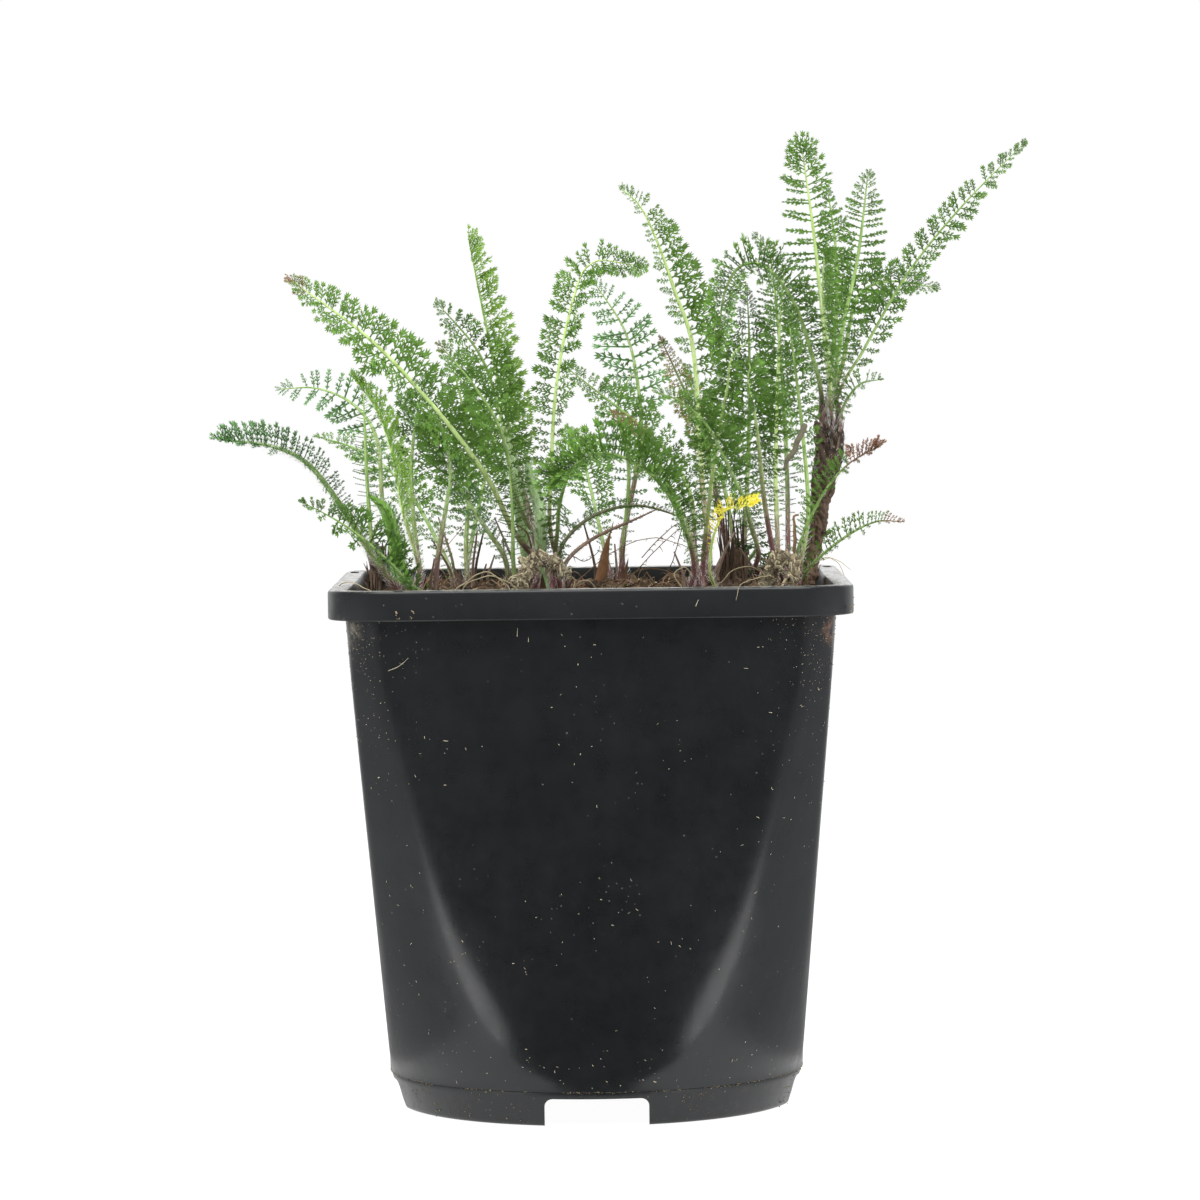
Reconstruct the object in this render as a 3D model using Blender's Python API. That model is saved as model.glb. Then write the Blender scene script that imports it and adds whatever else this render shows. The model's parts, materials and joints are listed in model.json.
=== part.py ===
"""Young yarrow plant in a black square-topped, round-footed nursery pot.

Lengths in the tables are millimetres, X to the right, Y away from the front, Z up, measured from the
pot's axis at the foot. At the end everything is moved so that the origin is the bottom centre of the
whole plant's bounding box.
"""

import math
import random

import bmesh
import bpy
import numpy as np
from mathutils import Vector

MM = 0.001
CLEARANCE = 0.35

# Pot: a square frustum cut by a cone, so four flat panels narrow to nothing at the round foot.
POT_HEIGHT = 144.5
RIM_HALF = 70.0
RIM_CORNER = 18.0
RIM_SKIRT = 8.0
SKIRT_THICK = 1.6
FLANGE_THICK = 1.7
WALL = 1.6
PANEL_HALF_TOP = 65.6
PANEL_HALF_FOOT = 56.4
BODY_CORNER = 8.0
CONE_RADIUS_FOOT = 56.4
CONE_RADIUS_TOP = 91.0
CONE_CURVE = 0.82
SEAM_HEIGHT = 9.6
FOOT_RADIUS = 54.2
FOOT_FLARE = 2.0
FOOT_WIDTH = 2.2
FLOOR_UNDER = 7.9
FLOOR_TOP = 9.9
NOTCH_WIDTH = 28.0
NOTCH_HEIGHT = 7.6
DRAIN_RADIUS = 5.0
DRAIN_RING = 34.0
SLOT_LENGTH = 8.0
SLOT_WIDTH = 2.4
OCTANT_ANGLES = (0, 10, 20, 29, 36, 41)
BODY_LEVELS = (26, 56, 104, 136)
SOIL_EDGE = 136.5
INNER_LEVELS = (SOIL_EDGE, 104, 50)

# Potting mix
SOIL_TOP = 138.0
SOIL_BUMP = 0.8
HOLE_DEPTH = 8.0
HOLE_RADIUS = 1.86

# Fronds
PETIOLE_HALF = 0.95
PETIOLE_HALF_THICK = 0.75
RIB_TIP_HALF = 0.42
RIB_TIP_HALF_THICK = 0.38
LEAFLET_HALF_THICK = 0.36
SLOT_SPACING = 4.1
LEAST_PETIOLE = 12.5
STATIONS = 44
LIFTS = (38, 8, 24)

# The crown that each frond grows from, at the soil, as (x, y)
CROWNS = {
    "a": (-45, -38),
    "g": (-53, -8),
    "h": (-21, -29),
    "b": (-12, -12),
    "c": (30, -32),
    "d": (40, 18),
    "e": (53, -24),
    "k": (8, 36),
    "l": (-36, 30),
}

# The woody shoot carries its own crown of fronds above the soil.
SHOOT_PATH = ((57.5, 1.5, 129), (57.5, 1.5, 139), (61, 0.5, 153), (63.5, -1, 166), (66, -2, 178), (66.5, -2, 187))
SHOOT_RADII = (3.2, 3.4, 3.0, 2.9, 3.1, 2.7)
SHOOT_RING = 4.95
SHOOT_SHEATH = 9.0

# name: crown, points along the rib from just above the soil to the tip, widest width, facing, leaflet pairs,
# share of the length that is bare petiole
FRONDS = {
    "frond_g1": ("g", ((-59.5, -6, 153), (-61, -4, 171), (-61.5, -2, 185), (-62, 2, 196)), 9, (0, -1, 0), 12, 0.3),
    "frond_g2": ("g", ((-57, 6, 163), (-58.7, 15, 182), (-65, 22, 192), (-75.5, 26, 197), (-86, 28, 197)), 17,
                 (0, -1, 0.4), 11, 0.4),
    "frond_g3": ("g", ((-61, -12, 154), (-68, -18, 166), (-76, -24, 177), (-85, -28, 182), (-97, -30, 184)), 16,
                 (0, -0.7, 0.7), 13, 0.25),
    "frond_a1": ("a", ((-46, -38, 149), (-50, -38, 164), (-52.6, -36, 179), (-56.6, -34, 191), (-62, -32, 199)), 16,
                 (0.9, -0.4, 0.2), 15, 0.3),
    "frond_a2": ("a", ((-51.3, -43, 150), (-52.3, -44, 157), (-54.4, -46, 165), (-58.5, -48, 169)), 9,
                 (0.8, -0.5, 0.3), 8, 0.3),
    "frond_a3": ("a", ((-48, -46, 145), (-53, -52, 151), (-59, -56, 157), (-67, -59, 163), (-76, -60, 168)), 15,
                 (0, -0.8, 0.6), 12, 0.2),
    "frond_a4": ("a", ((-41, -35, 152), (-38.6, -31, 166), (-37.5, -27, 175), (-40, -24, 187), (-48, -22, 196)), 18,
                 (0.2, -1, 0.2), 13, 0.35),
    "frond_a5": ("a", ((-46.5, -32, 152), (-48, -25, 166), (-48, -18, 181), (-45, -12, 200)), 15, (0, -1, 0.1), 12,
                 0.35),
    "frond_h1": ("h", ((-23, -28, 151), (-28, -26, 159), (-34, -22, 168), (-38, -17, 175), (-44, -11, 184),
                       (-52, -6, 195)), 15, (0, -1, 0.2), 14, 0.3),
    "frond_h2": ("h", ((-20.8, -31, 150), (-20.8, -33, 163), (-21.5, -34, 176)), 11, (0, -1, 0), 10, 0.15),
    "frond_b1": ("b", ((-14.5, -14, 150), (-20, -20, 161), (-33, -28, 181), (-44, -30, 195), (-59, -30, 211),
                       (-80, -26, 227)), 23, (0.3, -0.9, 0.4), 17, 0.22),
    "frond_b2": ("b", ((-11, -14, 151), (-10.4, -16, 174), (-8.6, -14, 198), (-3.8, -10, 221), (1.5, -8, 231),
                       (13, -10, 230)), 17, (-0.5, -0.85, 0.1), 17, 0.22),
    "frond_b3": ("b", ((-14, 0, 153), (-19, 8, 172), (-24, 12, 194), (-28, 14, 213), (-32.5, 12, 237)), 14,
                 (0.85, -0.5, 0.1), 15, 0.35),
    "frond_b4": ("b", ((-15, -5, 153), (-20.5, 0, 174), (-26, 4, 196), (-31, 4, 208), (-41, 2, 220)), 19,
                 (0, -1, 0.2), 13, 0.35),
    "frond_b5": ("b", ((-13.4, -16, 151), (-20, -22, 170), (-24, -26, 186), (-31, -26, 198), (-40, -24, 209)), 18,
                 (0.1, -0.9, 0.4), 13, 0.3),
    "frond_b6": ("b", ((-9.5, -18, 152), (-8, -26, 166), (-4, -34, 176), (4, -38, 184)), 15, (0, -0.7, 0.7), 10, 0.3),
    "frond_b7": ("b", ((-13.6, -18, 151), (-15.6, -20, 166), (-17, -22, 179)), 6, (0.3, -1, 0), 9, 0.2),
    "frond_b8": ("b", ((-17, -13, 151), (-20, -15, 168), (-21, -16, 181)), 6, (0.5, -1, 0), 8, 0.3),
    "frond_b9": ("b", ((-8.5, -9, 152), (0, -4, 161), (13, 2, 164), (27, 6, 160)), 8, (0, -0.7, 0.7), 14, 0.15),
    "frond_b10": ("b", ((-6.6, -2, 149), (1, 6, 155), (13, 14, 160), (20, 18, 163)), 5, (0, -0.7, 0.7), 10, 0.2),
    "frond_c1": ("c", ((30, -34, 147), (31.6, -40, 162), (33.6, -46, 178), (36.5, -52, 194), (40, -58, 205),
                       (44, -62, 209)), 18, (0, -0.9, 0.5), 15, 0.3),
    "frond_c2": ("c", ((31, -26, 149), (30.4, -10, 177), (28.9, 0, 207), (24, 2, 223), (20, 2, 235),
                       (15, 0, 246), (9.6, -4, 251)), 21, (0.3, -0.95, 0.1), 18, 0.3),
    "frond_c3": ("c", ((28, -37, 150), (22.5, -46, 166), (14, -54, 176), (2.4, -58, 180), (-8, -60, 174)), 17,
                 (0, -0.7, 0.7), 14, 0.3),
    "frond_c4": ("c", ((32, -42, 148), (33, -46, 157), (36.5, -50, 164), (43, -54, 166)), 8, (0, -0.6, 0.8), 9, 0.2),
    "frond_c5": ("c", ((29.5, -26, 150), (28, -12, 166), (22, -4, 178), (13, 0, 187), (3, 4, 195), (-7, 6, 203)), 16,
                 (0, -0.8, 0.6), 15, 0.3),
    "frond_c6": ("c", ((28.5, -30, 149), (25.7, -27, 161), (20, -23, 173), (13.5, -20, 183), (7, -18, 190)), 13,
                 (0, -0.8, 0.6), 12, 0.3),
    "frond_d1": ("d", ((42.8, 20, 152), (44.5, 24, 179), (45, 24, 207), (44.5, 20, 222)), 20, (0, -1, 0), 14, 0.25),
    "frond_d2": ("d", ((40, 22, 152), (37, 28, 171), (31.6, 32, 188), (27.5, 34, 200)), 17, (0, -1, 0.2), 12, 0.3),
    "frond_d3": ("d", ((43, 12, 146), (44.7, 7, 152), (44, 3, 159)), 15, (0, -1, 0.2), 6, 0.2),
    "frond_d4": ("d", ((37.6, 15, 153), (31, 12, 184), (25, 10, 199), (20, 8, 210)), 14, (0, -1, 0.1), 12, 0.45),
    "frond_e1": ("e", ((50, -28, 147), (47, -36, 166), (45, -42, 186), (42.5, -50, 198), (41, -59, 204)), 20,
                 (0, -0.7, 0.7), 14, 0.45),
    "frond_e2": ("e", ((51, -17, 150), (51, -6, 172), (52, 2, 193), (53, 6, 213), (54.5, 8, 228)), 17, (0, -1, 0),
                 16, 0.25),
    "frond_e3": ("e", ((57, -18, 147), (59.6, -13, 162), (58.6, -9, 182), (56.8, -7, 200), (55, -4, 216)), 15,
                 (0, -1, 0), 15, 0.2),
    "frond_e4": ("e", ((54, -10, 150), (54.5, 8, 178), (53, 18, 212), (51, 22, 232), (47, 22, 238)), 16, (0, -1, 0.1),
                 16, 0.3),
    "frond_e5": ("e", ((56, -28, 152), (62, -32, 166), (69, -34, 175), (77, -36, 180)), 9, (-0.4, -0.6, 0.6), 12,
                 0.15),
    "frond_e6": ("e", ((58, -27, 146), (61.5, -29, 150), (69, -31, 156), (77, -33, 160), (84, -34, 160)), 9,
                 (0, -0.6, 0.8), 12, 0.15),
    "frond_e7": ("e", ((47, -34, 147), (44, -44, 157), (39.5, -52, 170), (32, -57, 186), (25, -60, 193),
                       (18, -60, 196)), 18, (0, -0.85, 0.5), 14, 0.35),
    "frond_f1": ("f", ((66, -6, 194), (64.5, -9, 212), (62, -13, 237), (59, -15, 260)), 19, (0, -1, 0.1), 17, 0.15),
    "frond_f2": ("f", ((67.6, -4, 195), (70, -1, 212), (74.6, 2, 232), (77.5, 2, 254)), 20, (0, -1, 0), 16, 0.2),
    "frond_f3": ("f", ((69.6, -1, 194), (77.5, 2, 209), (89, 2, 228), (103, 0, 245), (120, -2, 262)), 13,
                 (0.4, -0.6, 0.7), 19, 0.15),
    "frond_f4": ("f", ((66.6, 2, 195), (68.5, 6, 212), (69, 13, 233), (67, 15, 250)), 14, (0, -1, 0.1), 13, 0.25),
    "frond_f5": ("f", ((68, 3, 194), (72, 9, 212), (76, 16, 222), (85, 20, 225), (97, 22, 223)), 17, (0, -1, 0.3),
                 13, 0.25),
    "frond_f6": ("f", ((64.4, -8, 195), (60.5, -17, 207), (55.5, -25, 220), (48, -32, 229), (41, -38, 229),
                       (36.5, -42, 221), (35, -46, 208)), 18, (0, -0.9, 0.4), 17, 0.15),
    "frond_f7": ("f", ((70.5, -4, 187), (73.5, -6, 193), (77, -8, 197), (83, -10, 198)), 8, (0, -0.7, 0.7), 9, 0.2),
    "frond_f8": ("f", ((65.4, -7, 193), (65, -16, 209), (63.8, -22, 222), (64.2, -27, 232)), 12, (0.85, -0.4, 0.2),
                 12, 0.2),
    "frond_k1": ("k", ((9, 40, 152), (14.5, 44, 180), (13.5, 47, 200), (10, 49, 213), (2.5, 50, 225)), 20,
                 (0, -1, 0.1), 13, 0.45),
    "frond_k2": ("k", ((9, 33, 150), (11, 31, 173), (8, 33, 191), (13, 36, 201)), 16, (0, -1, 0.2), 12, 0.3),
    "frond_k3": ("k", ((4, 42, 150), (0, 58, 168), (-3, 72, 180), (-6, 84, 184)), 17, (0.3, -0.5, 1), 13, 0.25),
    "frond_l1": ("l", ((-35, 33, 152), (-34, 37, 171), (-35.5, 41, 190), (-39, 44, 205)), 18, (0, -1, 0), 13, 0.25),
    "frond_l2": ("l", ((-42, 38, 151), (-52, 50, 168), (-64, 60, 178), (-78, 66, 183)), 16, (-0.4, -0.4, 1), 13, 0.2),
    "frond_l3": ("l", ((-34, 38, 151), (-30, 52, 170), (-26, 66, 186), (-22, 74, 202)), 17, (0.2, -1, 0.6), 14, 0.2),
}

# Other pieces of the plant, as (path, radius at each point)
CURLS = {
    "curled_leaf": (((-18.8, -35.5, 134), (-18.8, -35.5, 140), (-18.6, -35.5, 145), (-16.5, -35, 149.6),
                     (-12.6, -34, 151), (-9, -33, 149), (-7.2, -32, 146)), (1.1, 1.2, 1.8, 2.4, 2.5, 2.2, 1.2)),
    "curled_bud": (((47.5, -34, 134), (47.5, -34, 140), (48, -34, 146), (50.2, -34.5, 150), (53.2, -35, 150.6),
                    (54.8, -35.4, 147.6), (53.4, -35.8, 145)), (1.1, 1.2, 1.4, 1.6, 1.6, 1.5, 1.2)),
    "dead_leaf": (((2, 18, 134), (2, 18, 140), (3.2, 19, 145), (4.5, 20, 152), (6.5, 20.5, 159)),
                  (0.9, 1.0, 1.9, 1.7, 0.45)),
    "old_stump": (((39, 3, 131), (39, 3, 139), (41, 5, 151)), (3.4, 3.6, 2.6)),
    "crown_b": (((-12, -12, 131), (-12, -12, 140), (-10.8, -12.2, 148)), (2.6, 3.1, 1.6)),
}
TUBE_SIDES = {"curled_leaf": 7, "curled_bud": 6, "dead_leaf": 4, "old_stump": 8, "crown_b": 8}


def clear_scene():
    for obj in list(bpy.data.objects):
        bpy.data.objects.remove(obj, do_unlink=True)


def make_material(name, colour, roughness, metallic=0.0):
    material = bpy.data.materials.new(name)
    material.use_nodes = True
    shader = material.node_tree.nodes["Principled BSDF"]
    shader.inputs["Base Color"].default_value = (*colour, 1.0)
    shader.inputs["Roughness"].default_value = roughness
    shader.inputs["Metallic"].default_value = metallic
    return material


def make_object(name, points, faces, material, smooth_angle=30):
    """One closed body from points in millimetres."""
    mesh = bpy.data.meshes.new(name)
    mesh.from_pydata([Vector(p) * MM for p in points], [], faces)
    tidy = bmesh.new()
    tidy.from_mesh(mesh)
    bmesh.ops.recalc_face_normals(tidy, faces=tidy.faces)
    tidy.to_mesh(mesh)
    tidy.free()
    mesh.materials.append(material)
    mesh.shade_smooth()
    mesh.set_sharp_from_angle(angle=math.radians(smooth_angle))
    obj = bpy.data.objects.new(name, mesh)
    bpy.context.scene.collection.objects.link(obj)
    return obj


def cut(obj, name, points, faces):
    """Takes a closed cutter, in millimetres, out of obj."""
    cutter = make_object(name, points, faces, obj.data.materials[0])
    cutter.hide_render = True
    cutter.display_type = "WIRE"
    modifier = obj.modifiers.new(name, "BOOLEAN")
    modifier.operation = "DIFFERENCE"
    modifier.object = cutter


# Pot

def ring_angles():
    octants = []
    for quadrant in range(4):
        octants += [quadrant * 90 + a for a in OCTANT_ANGLES]
        octants += [quadrant * 90 + 45]
        octants += [quadrant * 90 + 90 - a for a in reversed(OCTANT_ANGLES[1:])]
    return np.radians(octants)


ANGLES = ring_angles()
COS, SIN = np.abs(np.cos(ANGLES)), np.abs(np.sin(ANGLES))


def rounded_square(half, corner):
    """Distance from the axis to a rounded square, at each ring angle."""
    flat = half / np.maximum(COS, SIN)
    centre = half - corner
    inside = centre * (COS + SIN)
    arc = inside + np.sqrt(np.maximum(corner**2 - 2 * centre**2 + inside**2, 0))
    on_flat = flat * np.minimum(COS, SIN) <= centre
    return np.where(on_flat, flat, arc)


def body_radius(z):
    share = (z - SEAM_HEIGHT) / (POT_HEIGHT - SEAM_HEIGHT)
    half = PANEL_HALF_FOOT + (PANEL_HALF_TOP - PANEL_HALF_FOOT) * share
    cone = CONE_RADIUS_FOOT + (CONE_RADIUS_TOP - CONE_RADIUS_FOOT) * max(share, 0) ** CONE_CURVE
    return np.minimum(rounded_square(half, BODY_CORNER), cone)


def circle(radius):
    return np.full(len(ANGLES), radius)


def lofted(rings, peak=None):
    """Points and faces of a closed body turned through rings of (radii, height), its top flat or rising to peak."""
    points, faces = [], []
    count = len(ANGLES)
    for radii, z in rings:
        heights = np.broadcast_to(z, radii.shape)
        points += list(zip(radii * np.cos(ANGLES), radii * np.sin(ANGLES), heights))
    for band in range(len(rings) - 1):
        low, high = band * count, (band + 1) * count
        rising = np.mean(rings[band + 1][1]) >= np.mean(rings[band][1])
        for i in range(count):
            j = (i + 1) % count
            if rising:
                faces += [(low + i, low + j, high + j), (low + i, high + j, high + i)]
            else:
                faces += [(low + i, low + j, high + i), (low + j, high + j, high + i)]
    faces.append(tuple(reversed(range(count))))
    top = (len(rings) - 1) * count
    if peak is None:
        faces.append(tuple(range(top, top + count)))
    else:
        points.append((0, 0, peak))
        faces += [(top + i, top + (i + 1) % count, len(points) - 1) for i in range(count)]
    return points, faces


def box_points(low, high, turn=0.0):
    """An upright box, turned about the pot's axis."""
    c, s = math.cos(turn), math.sin(turn)
    corners = [(x, y, z) for z in (low[2], high[2]) for x, y in
               ((low[0], low[1]), (high[0], low[1]), (high[0], high[1]), (low[0], high[1]))]
    points = [(c * x - s * y, s * x + c * y, z) for x, y, z in corners]
    faces = [(3, 2, 1, 0), (4, 5, 6, 7), (0, 1, 5, 4), (1, 2, 6, 5), (2, 3, 7, 6), (3, 0, 4, 7)]
    return points, faces


def prism(x, y, z_low, z_high, radius, sides):
    points = []
    for z in (z_low, z_high):
        for i in range(sides):
            angle = 2 * math.pi * i / sides
            points.append((x + radius * math.cos(angle), y + radius * math.sin(angle), z))
    faces = [tuple(reversed(range(sides))), tuple(range(sides, 2 * sides))]
    faces += [(i, (i + 1) % sides, sides + (i + 1) % sides, sides + i) for i in range(sides)]
    return points, faces


def merged(shapes):
    """Several (points, faces) as one."""
    points, faces = [], []
    for more_points, more_faces in shapes:
        offset = len(points)
        points += list(more_points)
        faces += [tuple(offset + i for i in face) for face in more_faces]
    return points, faces


def build_pot(material):
    skirt_low = POT_HEIGHT - RIM_SKIRT
    skirt_inner = RIM_HALF - SKIRT_THICK
    under = POT_HEIGHT - FLANGE_THICK
    rings = [(circle(FOOT_RADIUS - FOOT_WIDTH), FLOOR_UNDER), (circle(FOOT_RADIUS - FOOT_WIDTH), 0.0)]
    rings += [(circle(FOOT_RADIUS), 0.0), (circle(FOOT_RADIUS + FOOT_FLARE), SEAM_HEIGHT - 0.6)]
    rings += [(body_radius(z), z) for z in (SEAM_HEIGHT, *BODY_LEVELS, under)]
    rings += [(rounded_square(skirt_inner, RIM_CORNER - SKIRT_THICK), z) for z in (under, skirt_low)]
    rings += [(rounded_square(RIM_HALF, RIM_CORNER), z) for z in (skirt_low, POT_HEIGHT)]
    rings += [(body_radius(z) - WALL, z) for z in (POT_HEIGHT, *INNER_LEVELS, FLOOR_TOP)]
    pot = make_object("pot", *lofted(rings), material)
    reach = RIM_HALF + 10
    for index in range(2):
        notch = box_points((-NOTCH_WIDTH / 2, -reach, -5), (NOTCH_WIDTH / 2, reach, NOTCH_HEIGHT), index * math.pi / 2)
        cut(pot, f"notch_cutter_{index}", *notch)
    drains = [prism(0, 0, 0, 20, DRAIN_RADIUS, 7)]
    for index in range(4):
        angle = math.pi / 4 + index * math.pi / 2
        x, y = DRAIN_RING * math.cos(angle), DRAIN_RING * math.sin(angle)
        drains.append(prism(x, y, 0, 20, DRAIN_RADIUS, 7))
    cut(pot, "drain_cutter", *merged(drains))
    slots = []
    for side in (-1, 1):
        x = side * (RIM_HALF - 3.0)
        y = RIM_HALF - RIM_CORNER - SLOT_LENGTH
        low = (x - SLOT_WIDTH / 2, y, under - 2)
        high = (x + SLOT_WIDTH / 2, y + SLOT_LENGTH, POT_HEIGHT + 2)
        slots.append(box_points(low, high))
    cut(pot, "tag_slot_cutter", *merged(slots))
    return pot


# Frond rib lines

def smooth_path(points, count):
    """Points evenly spaced by length along a Catmull-Rom curve."""
    p = np.array(points, float)
    p = np.vstack([2 * p[0] - p[1], p, 2 * p[-1] - p[-2]])
    dense = []
    for i in range(1, len(p) - 2):
        t = np.linspace(0, 1, 24, endpoint=False)[:, None]
        a, b, c, d = p[i - 1], p[i], p[i + 1], p[i + 2]
        dense.append(0.5 * (2 * b + (c - a) * t + (2 * a - 5 * b + 4 * c - d) * t**2 + (3 * b - a - 3 * c + d) * t**3))
    dense = np.vstack([*dense, p[-2:-1]])
    length = np.concatenate([[0], np.cumsum(np.linalg.norm(np.diff(dense, axis=0), axis=1))])
    wanted = np.linspace(0, length[-1], count)
    return np.column_stack([np.interp(wanted, length, dense[:, k]) for k in range(3)])


def crown_slots():
    """Where each frond's petiole starts: places round its crown, in the order of the ways the fronds lean."""
    slots = {}
    for crown in (*CROWNS, "f"):
        members = [n for n, spec in FRONDS.items() if spec[0] == crown]
        centre = SHOOT_PATH[-1][:2] if crown == "f" else CROWNS[crown]
        ring = SHOOT_RING if crown == "f" else SLOT_SPACING / 2 / math.sin(math.pi / len(members))
        lean = {n: math.atan2(FRONDS[n][1][1][1] - centre[1], FRONDS[n][1][1][0] - centre[0]) for n in members}
        members.sort(key=lean.get)
        steps = [2 * math.pi * i / len(members) for i in range(len(members))]
        turn = math.atan2(sum(math.sin(lean[n] - s) for n, s in zip(members, steps)),
                          sum(math.cos(lean[n] - s) for n, s in zip(members, steps)))
        for name, step in zip(members, steps):
            angle = turn + step
            slots[name] = (centre[0] + ring * math.cos(angle), centre[1] + ring * math.sin(angle))
    return slots


def first_lines(slots):
    lines = {}
    for name, (crown, points, *_) in FRONDS.items():
        x, y = slots[name]
        foot = SHOOT_PATH[-1][2] - SHOOT_SHEATH if crown == "f" else SOIL_TOP - HOLE_DEPTH + 0.8
        mouth = foot + HOLE_DEPTH - 0.5
        lines[name] = smooth_path([(x, y, foot), (x, y, mouth), (x, y, mouth + 3.5), *points], STATIONS)
    return lines


def spread_apart(lines, fixed):
    """Bends crossing ribs clear of each other, mostly in depth. fixed holds (points, radii) that don't move."""
    names = list(lines)
    p = np.vstack([lines[n] for n in names])
    frond = np.repeat(np.arange(len(names)), STATIONS)
    along = np.tile(np.arange(STATIONS), len(names))
    start = np.array([lines[n][0, 2] for n in names])[frond]
    height = np.clip((p[:, 2] - start - 10) / 22, 0, 1)
    height = np.maximum(height, np.clip((along - 14) / 12, 0, 1))
    movable = np.clip((p[:, 2] - start - 9) / 8, 0, 1)
    movable = np.maximum(movable, np.clip((along - 9) / 6, 0, 1))
    room = 1.35 + 1.15 * height
    still, still_room = fixed
    kernel = np.exp(-np.linspace(-2.2, 2.2, 11) ** 2)
    for turn in range(90):
        if turn % 10 == 0:
            distance = np.sqrt(((p[:, None, :] - p[None, :, :]) ** 2).sum(-1))
            first, second = np.nonzero((distance < 9) & (frond[:, None] != frond[None, :]))
            distance = np.sqrt(((p[:, None, :] - still[None, :, :]) ** 2).sum(-1))
            mover, post = np.nonzero(distance < 12)
        gap = p[first] - p[second]
        distance = np.sqrt((gap**2).sum(1))
        push = np.maximum(room[first] + room[second] - distance, 0) / np.maximum(distance, 0.3)
        level = np.abs(gap[:, 1]) < 0.05
        gap[level, 1] = np.sign(frond[first] - frond[second])[level] * 0.3
        shift = np.zeros_like(p)
        np.add.at(shift, first, gap * push[:, None] * np.array([0.25, 0.9, 0.1]))
        gap = p[mover] - still[post]
        distance = np.sqrt((gap**2).sum(1))
        push = np.maximum(room[mover] + still_room[post] - distance, 0) / np.maximum(distance, 0.3)
        np.add.at(shift, mover, gap * push[:, None] * np.array([0.6, 1.0, 0.1]))
        if np.abs(shift).max() < 0.01:
            break
        shift = np.clip(shift, -1.2, 1.2) * 0.5
        for index in range(len(names)):
            span = slice(index * STATIONS, (index + 1) * STATIONS)
            for axis in range(3):
                spread = np.convolve(shift[span, axis], kernel, mode="same") / kernel.sum() * 2.2
                p[span, axis] += spread * movable[span]
    return {n: p[i * STATIONS:(i + 1) * STATIONS] for i, n in enumerate(names)}


def rib_frames(line, facing):
    """Way along, side and face at each station."""
    along = np.gradient(line, axis=0)
    along /= np.linalg.norm(along, axis=1)[:, None]
    face = np.array(facing, float)[None, :] - along * (along @ np.array(facing, float))[:, None]
    face /= np.linalg.norm(face, axis=1)[:, None]
    side = np.cross(along, face)
    return along, side, face


def at(line_values, share):
    """A station table read at shares of its length."""
    places = np.asarray(share) * (len(line_values) - 1)
    index = np.arange(len(line_values))
    return np.column_stack([np.interp(places, index, line_values[:, k]) for k in range(3)])


def leaflet_profile(u):
    """Leaflet length along the blade, as a share of the longest: short at the base, longest past the middle."""
    return 0.28 + 0.72 * math.sin(math.pi * min(max(u, 0.0), 1.0) ** 0.85) ** 0.75 * (1 - 0.25 * u**6)


class Grid:
    """Points with radii in cells, to find what lies near."""

    def __init__(self, cell=3.0):
        self.cell, self.cells = cell, {}

    def key(self, p):
        return tuple(int(math.floor(c / self.cell)) for c in p)

    def add(self, p, radius, owner):
        self.cells.setdefault(self.key(p), []).append((p[0], p[1], p[2], radius, owner))

    def near(self, p, radius, owner, slack):
        kx, ky, kz = self.key(p)
        for x in (kx - 1, kx, kx + 1):
            for y in (ky - 1, ky, ky + 1):
                for z in (kz - 1, kz, kz + 1):
                    for qx, qy, qz, other_radius, other in self.cells.get((x, y, z), ()):
                        if other == owner:
                            continue
                        reach = radius + other_radius + slack
                        if (p[0] - qx) ** 2 + (p[1] - qy) ** 2 + (p[2] - qz) ** 2 < reach * reach:
                            return True
        return False


def leaflet_samples(base_a, base_b, tip):
    """Points all over a leaflet, near enough together to stand for it."""
    base_a, base_b, tip = Vector(base_a), Vector(base_b), Vector(tip)
    length = (tip - (base_a + base_b) / 2).length
    rows = max(2, math.ceil(length / 1.1))
    found = []
    for row in range(1, rows + 1):
        u = row / rows
        a, b = base_a.lerp(tip, u), base_b.lerp(tip, u)
        columns = max(1, math.ceil((b - a).length / 1.1))
        found += [a.lerp(b, c / columns) for c in range(columns + 1)]
    return found


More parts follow.
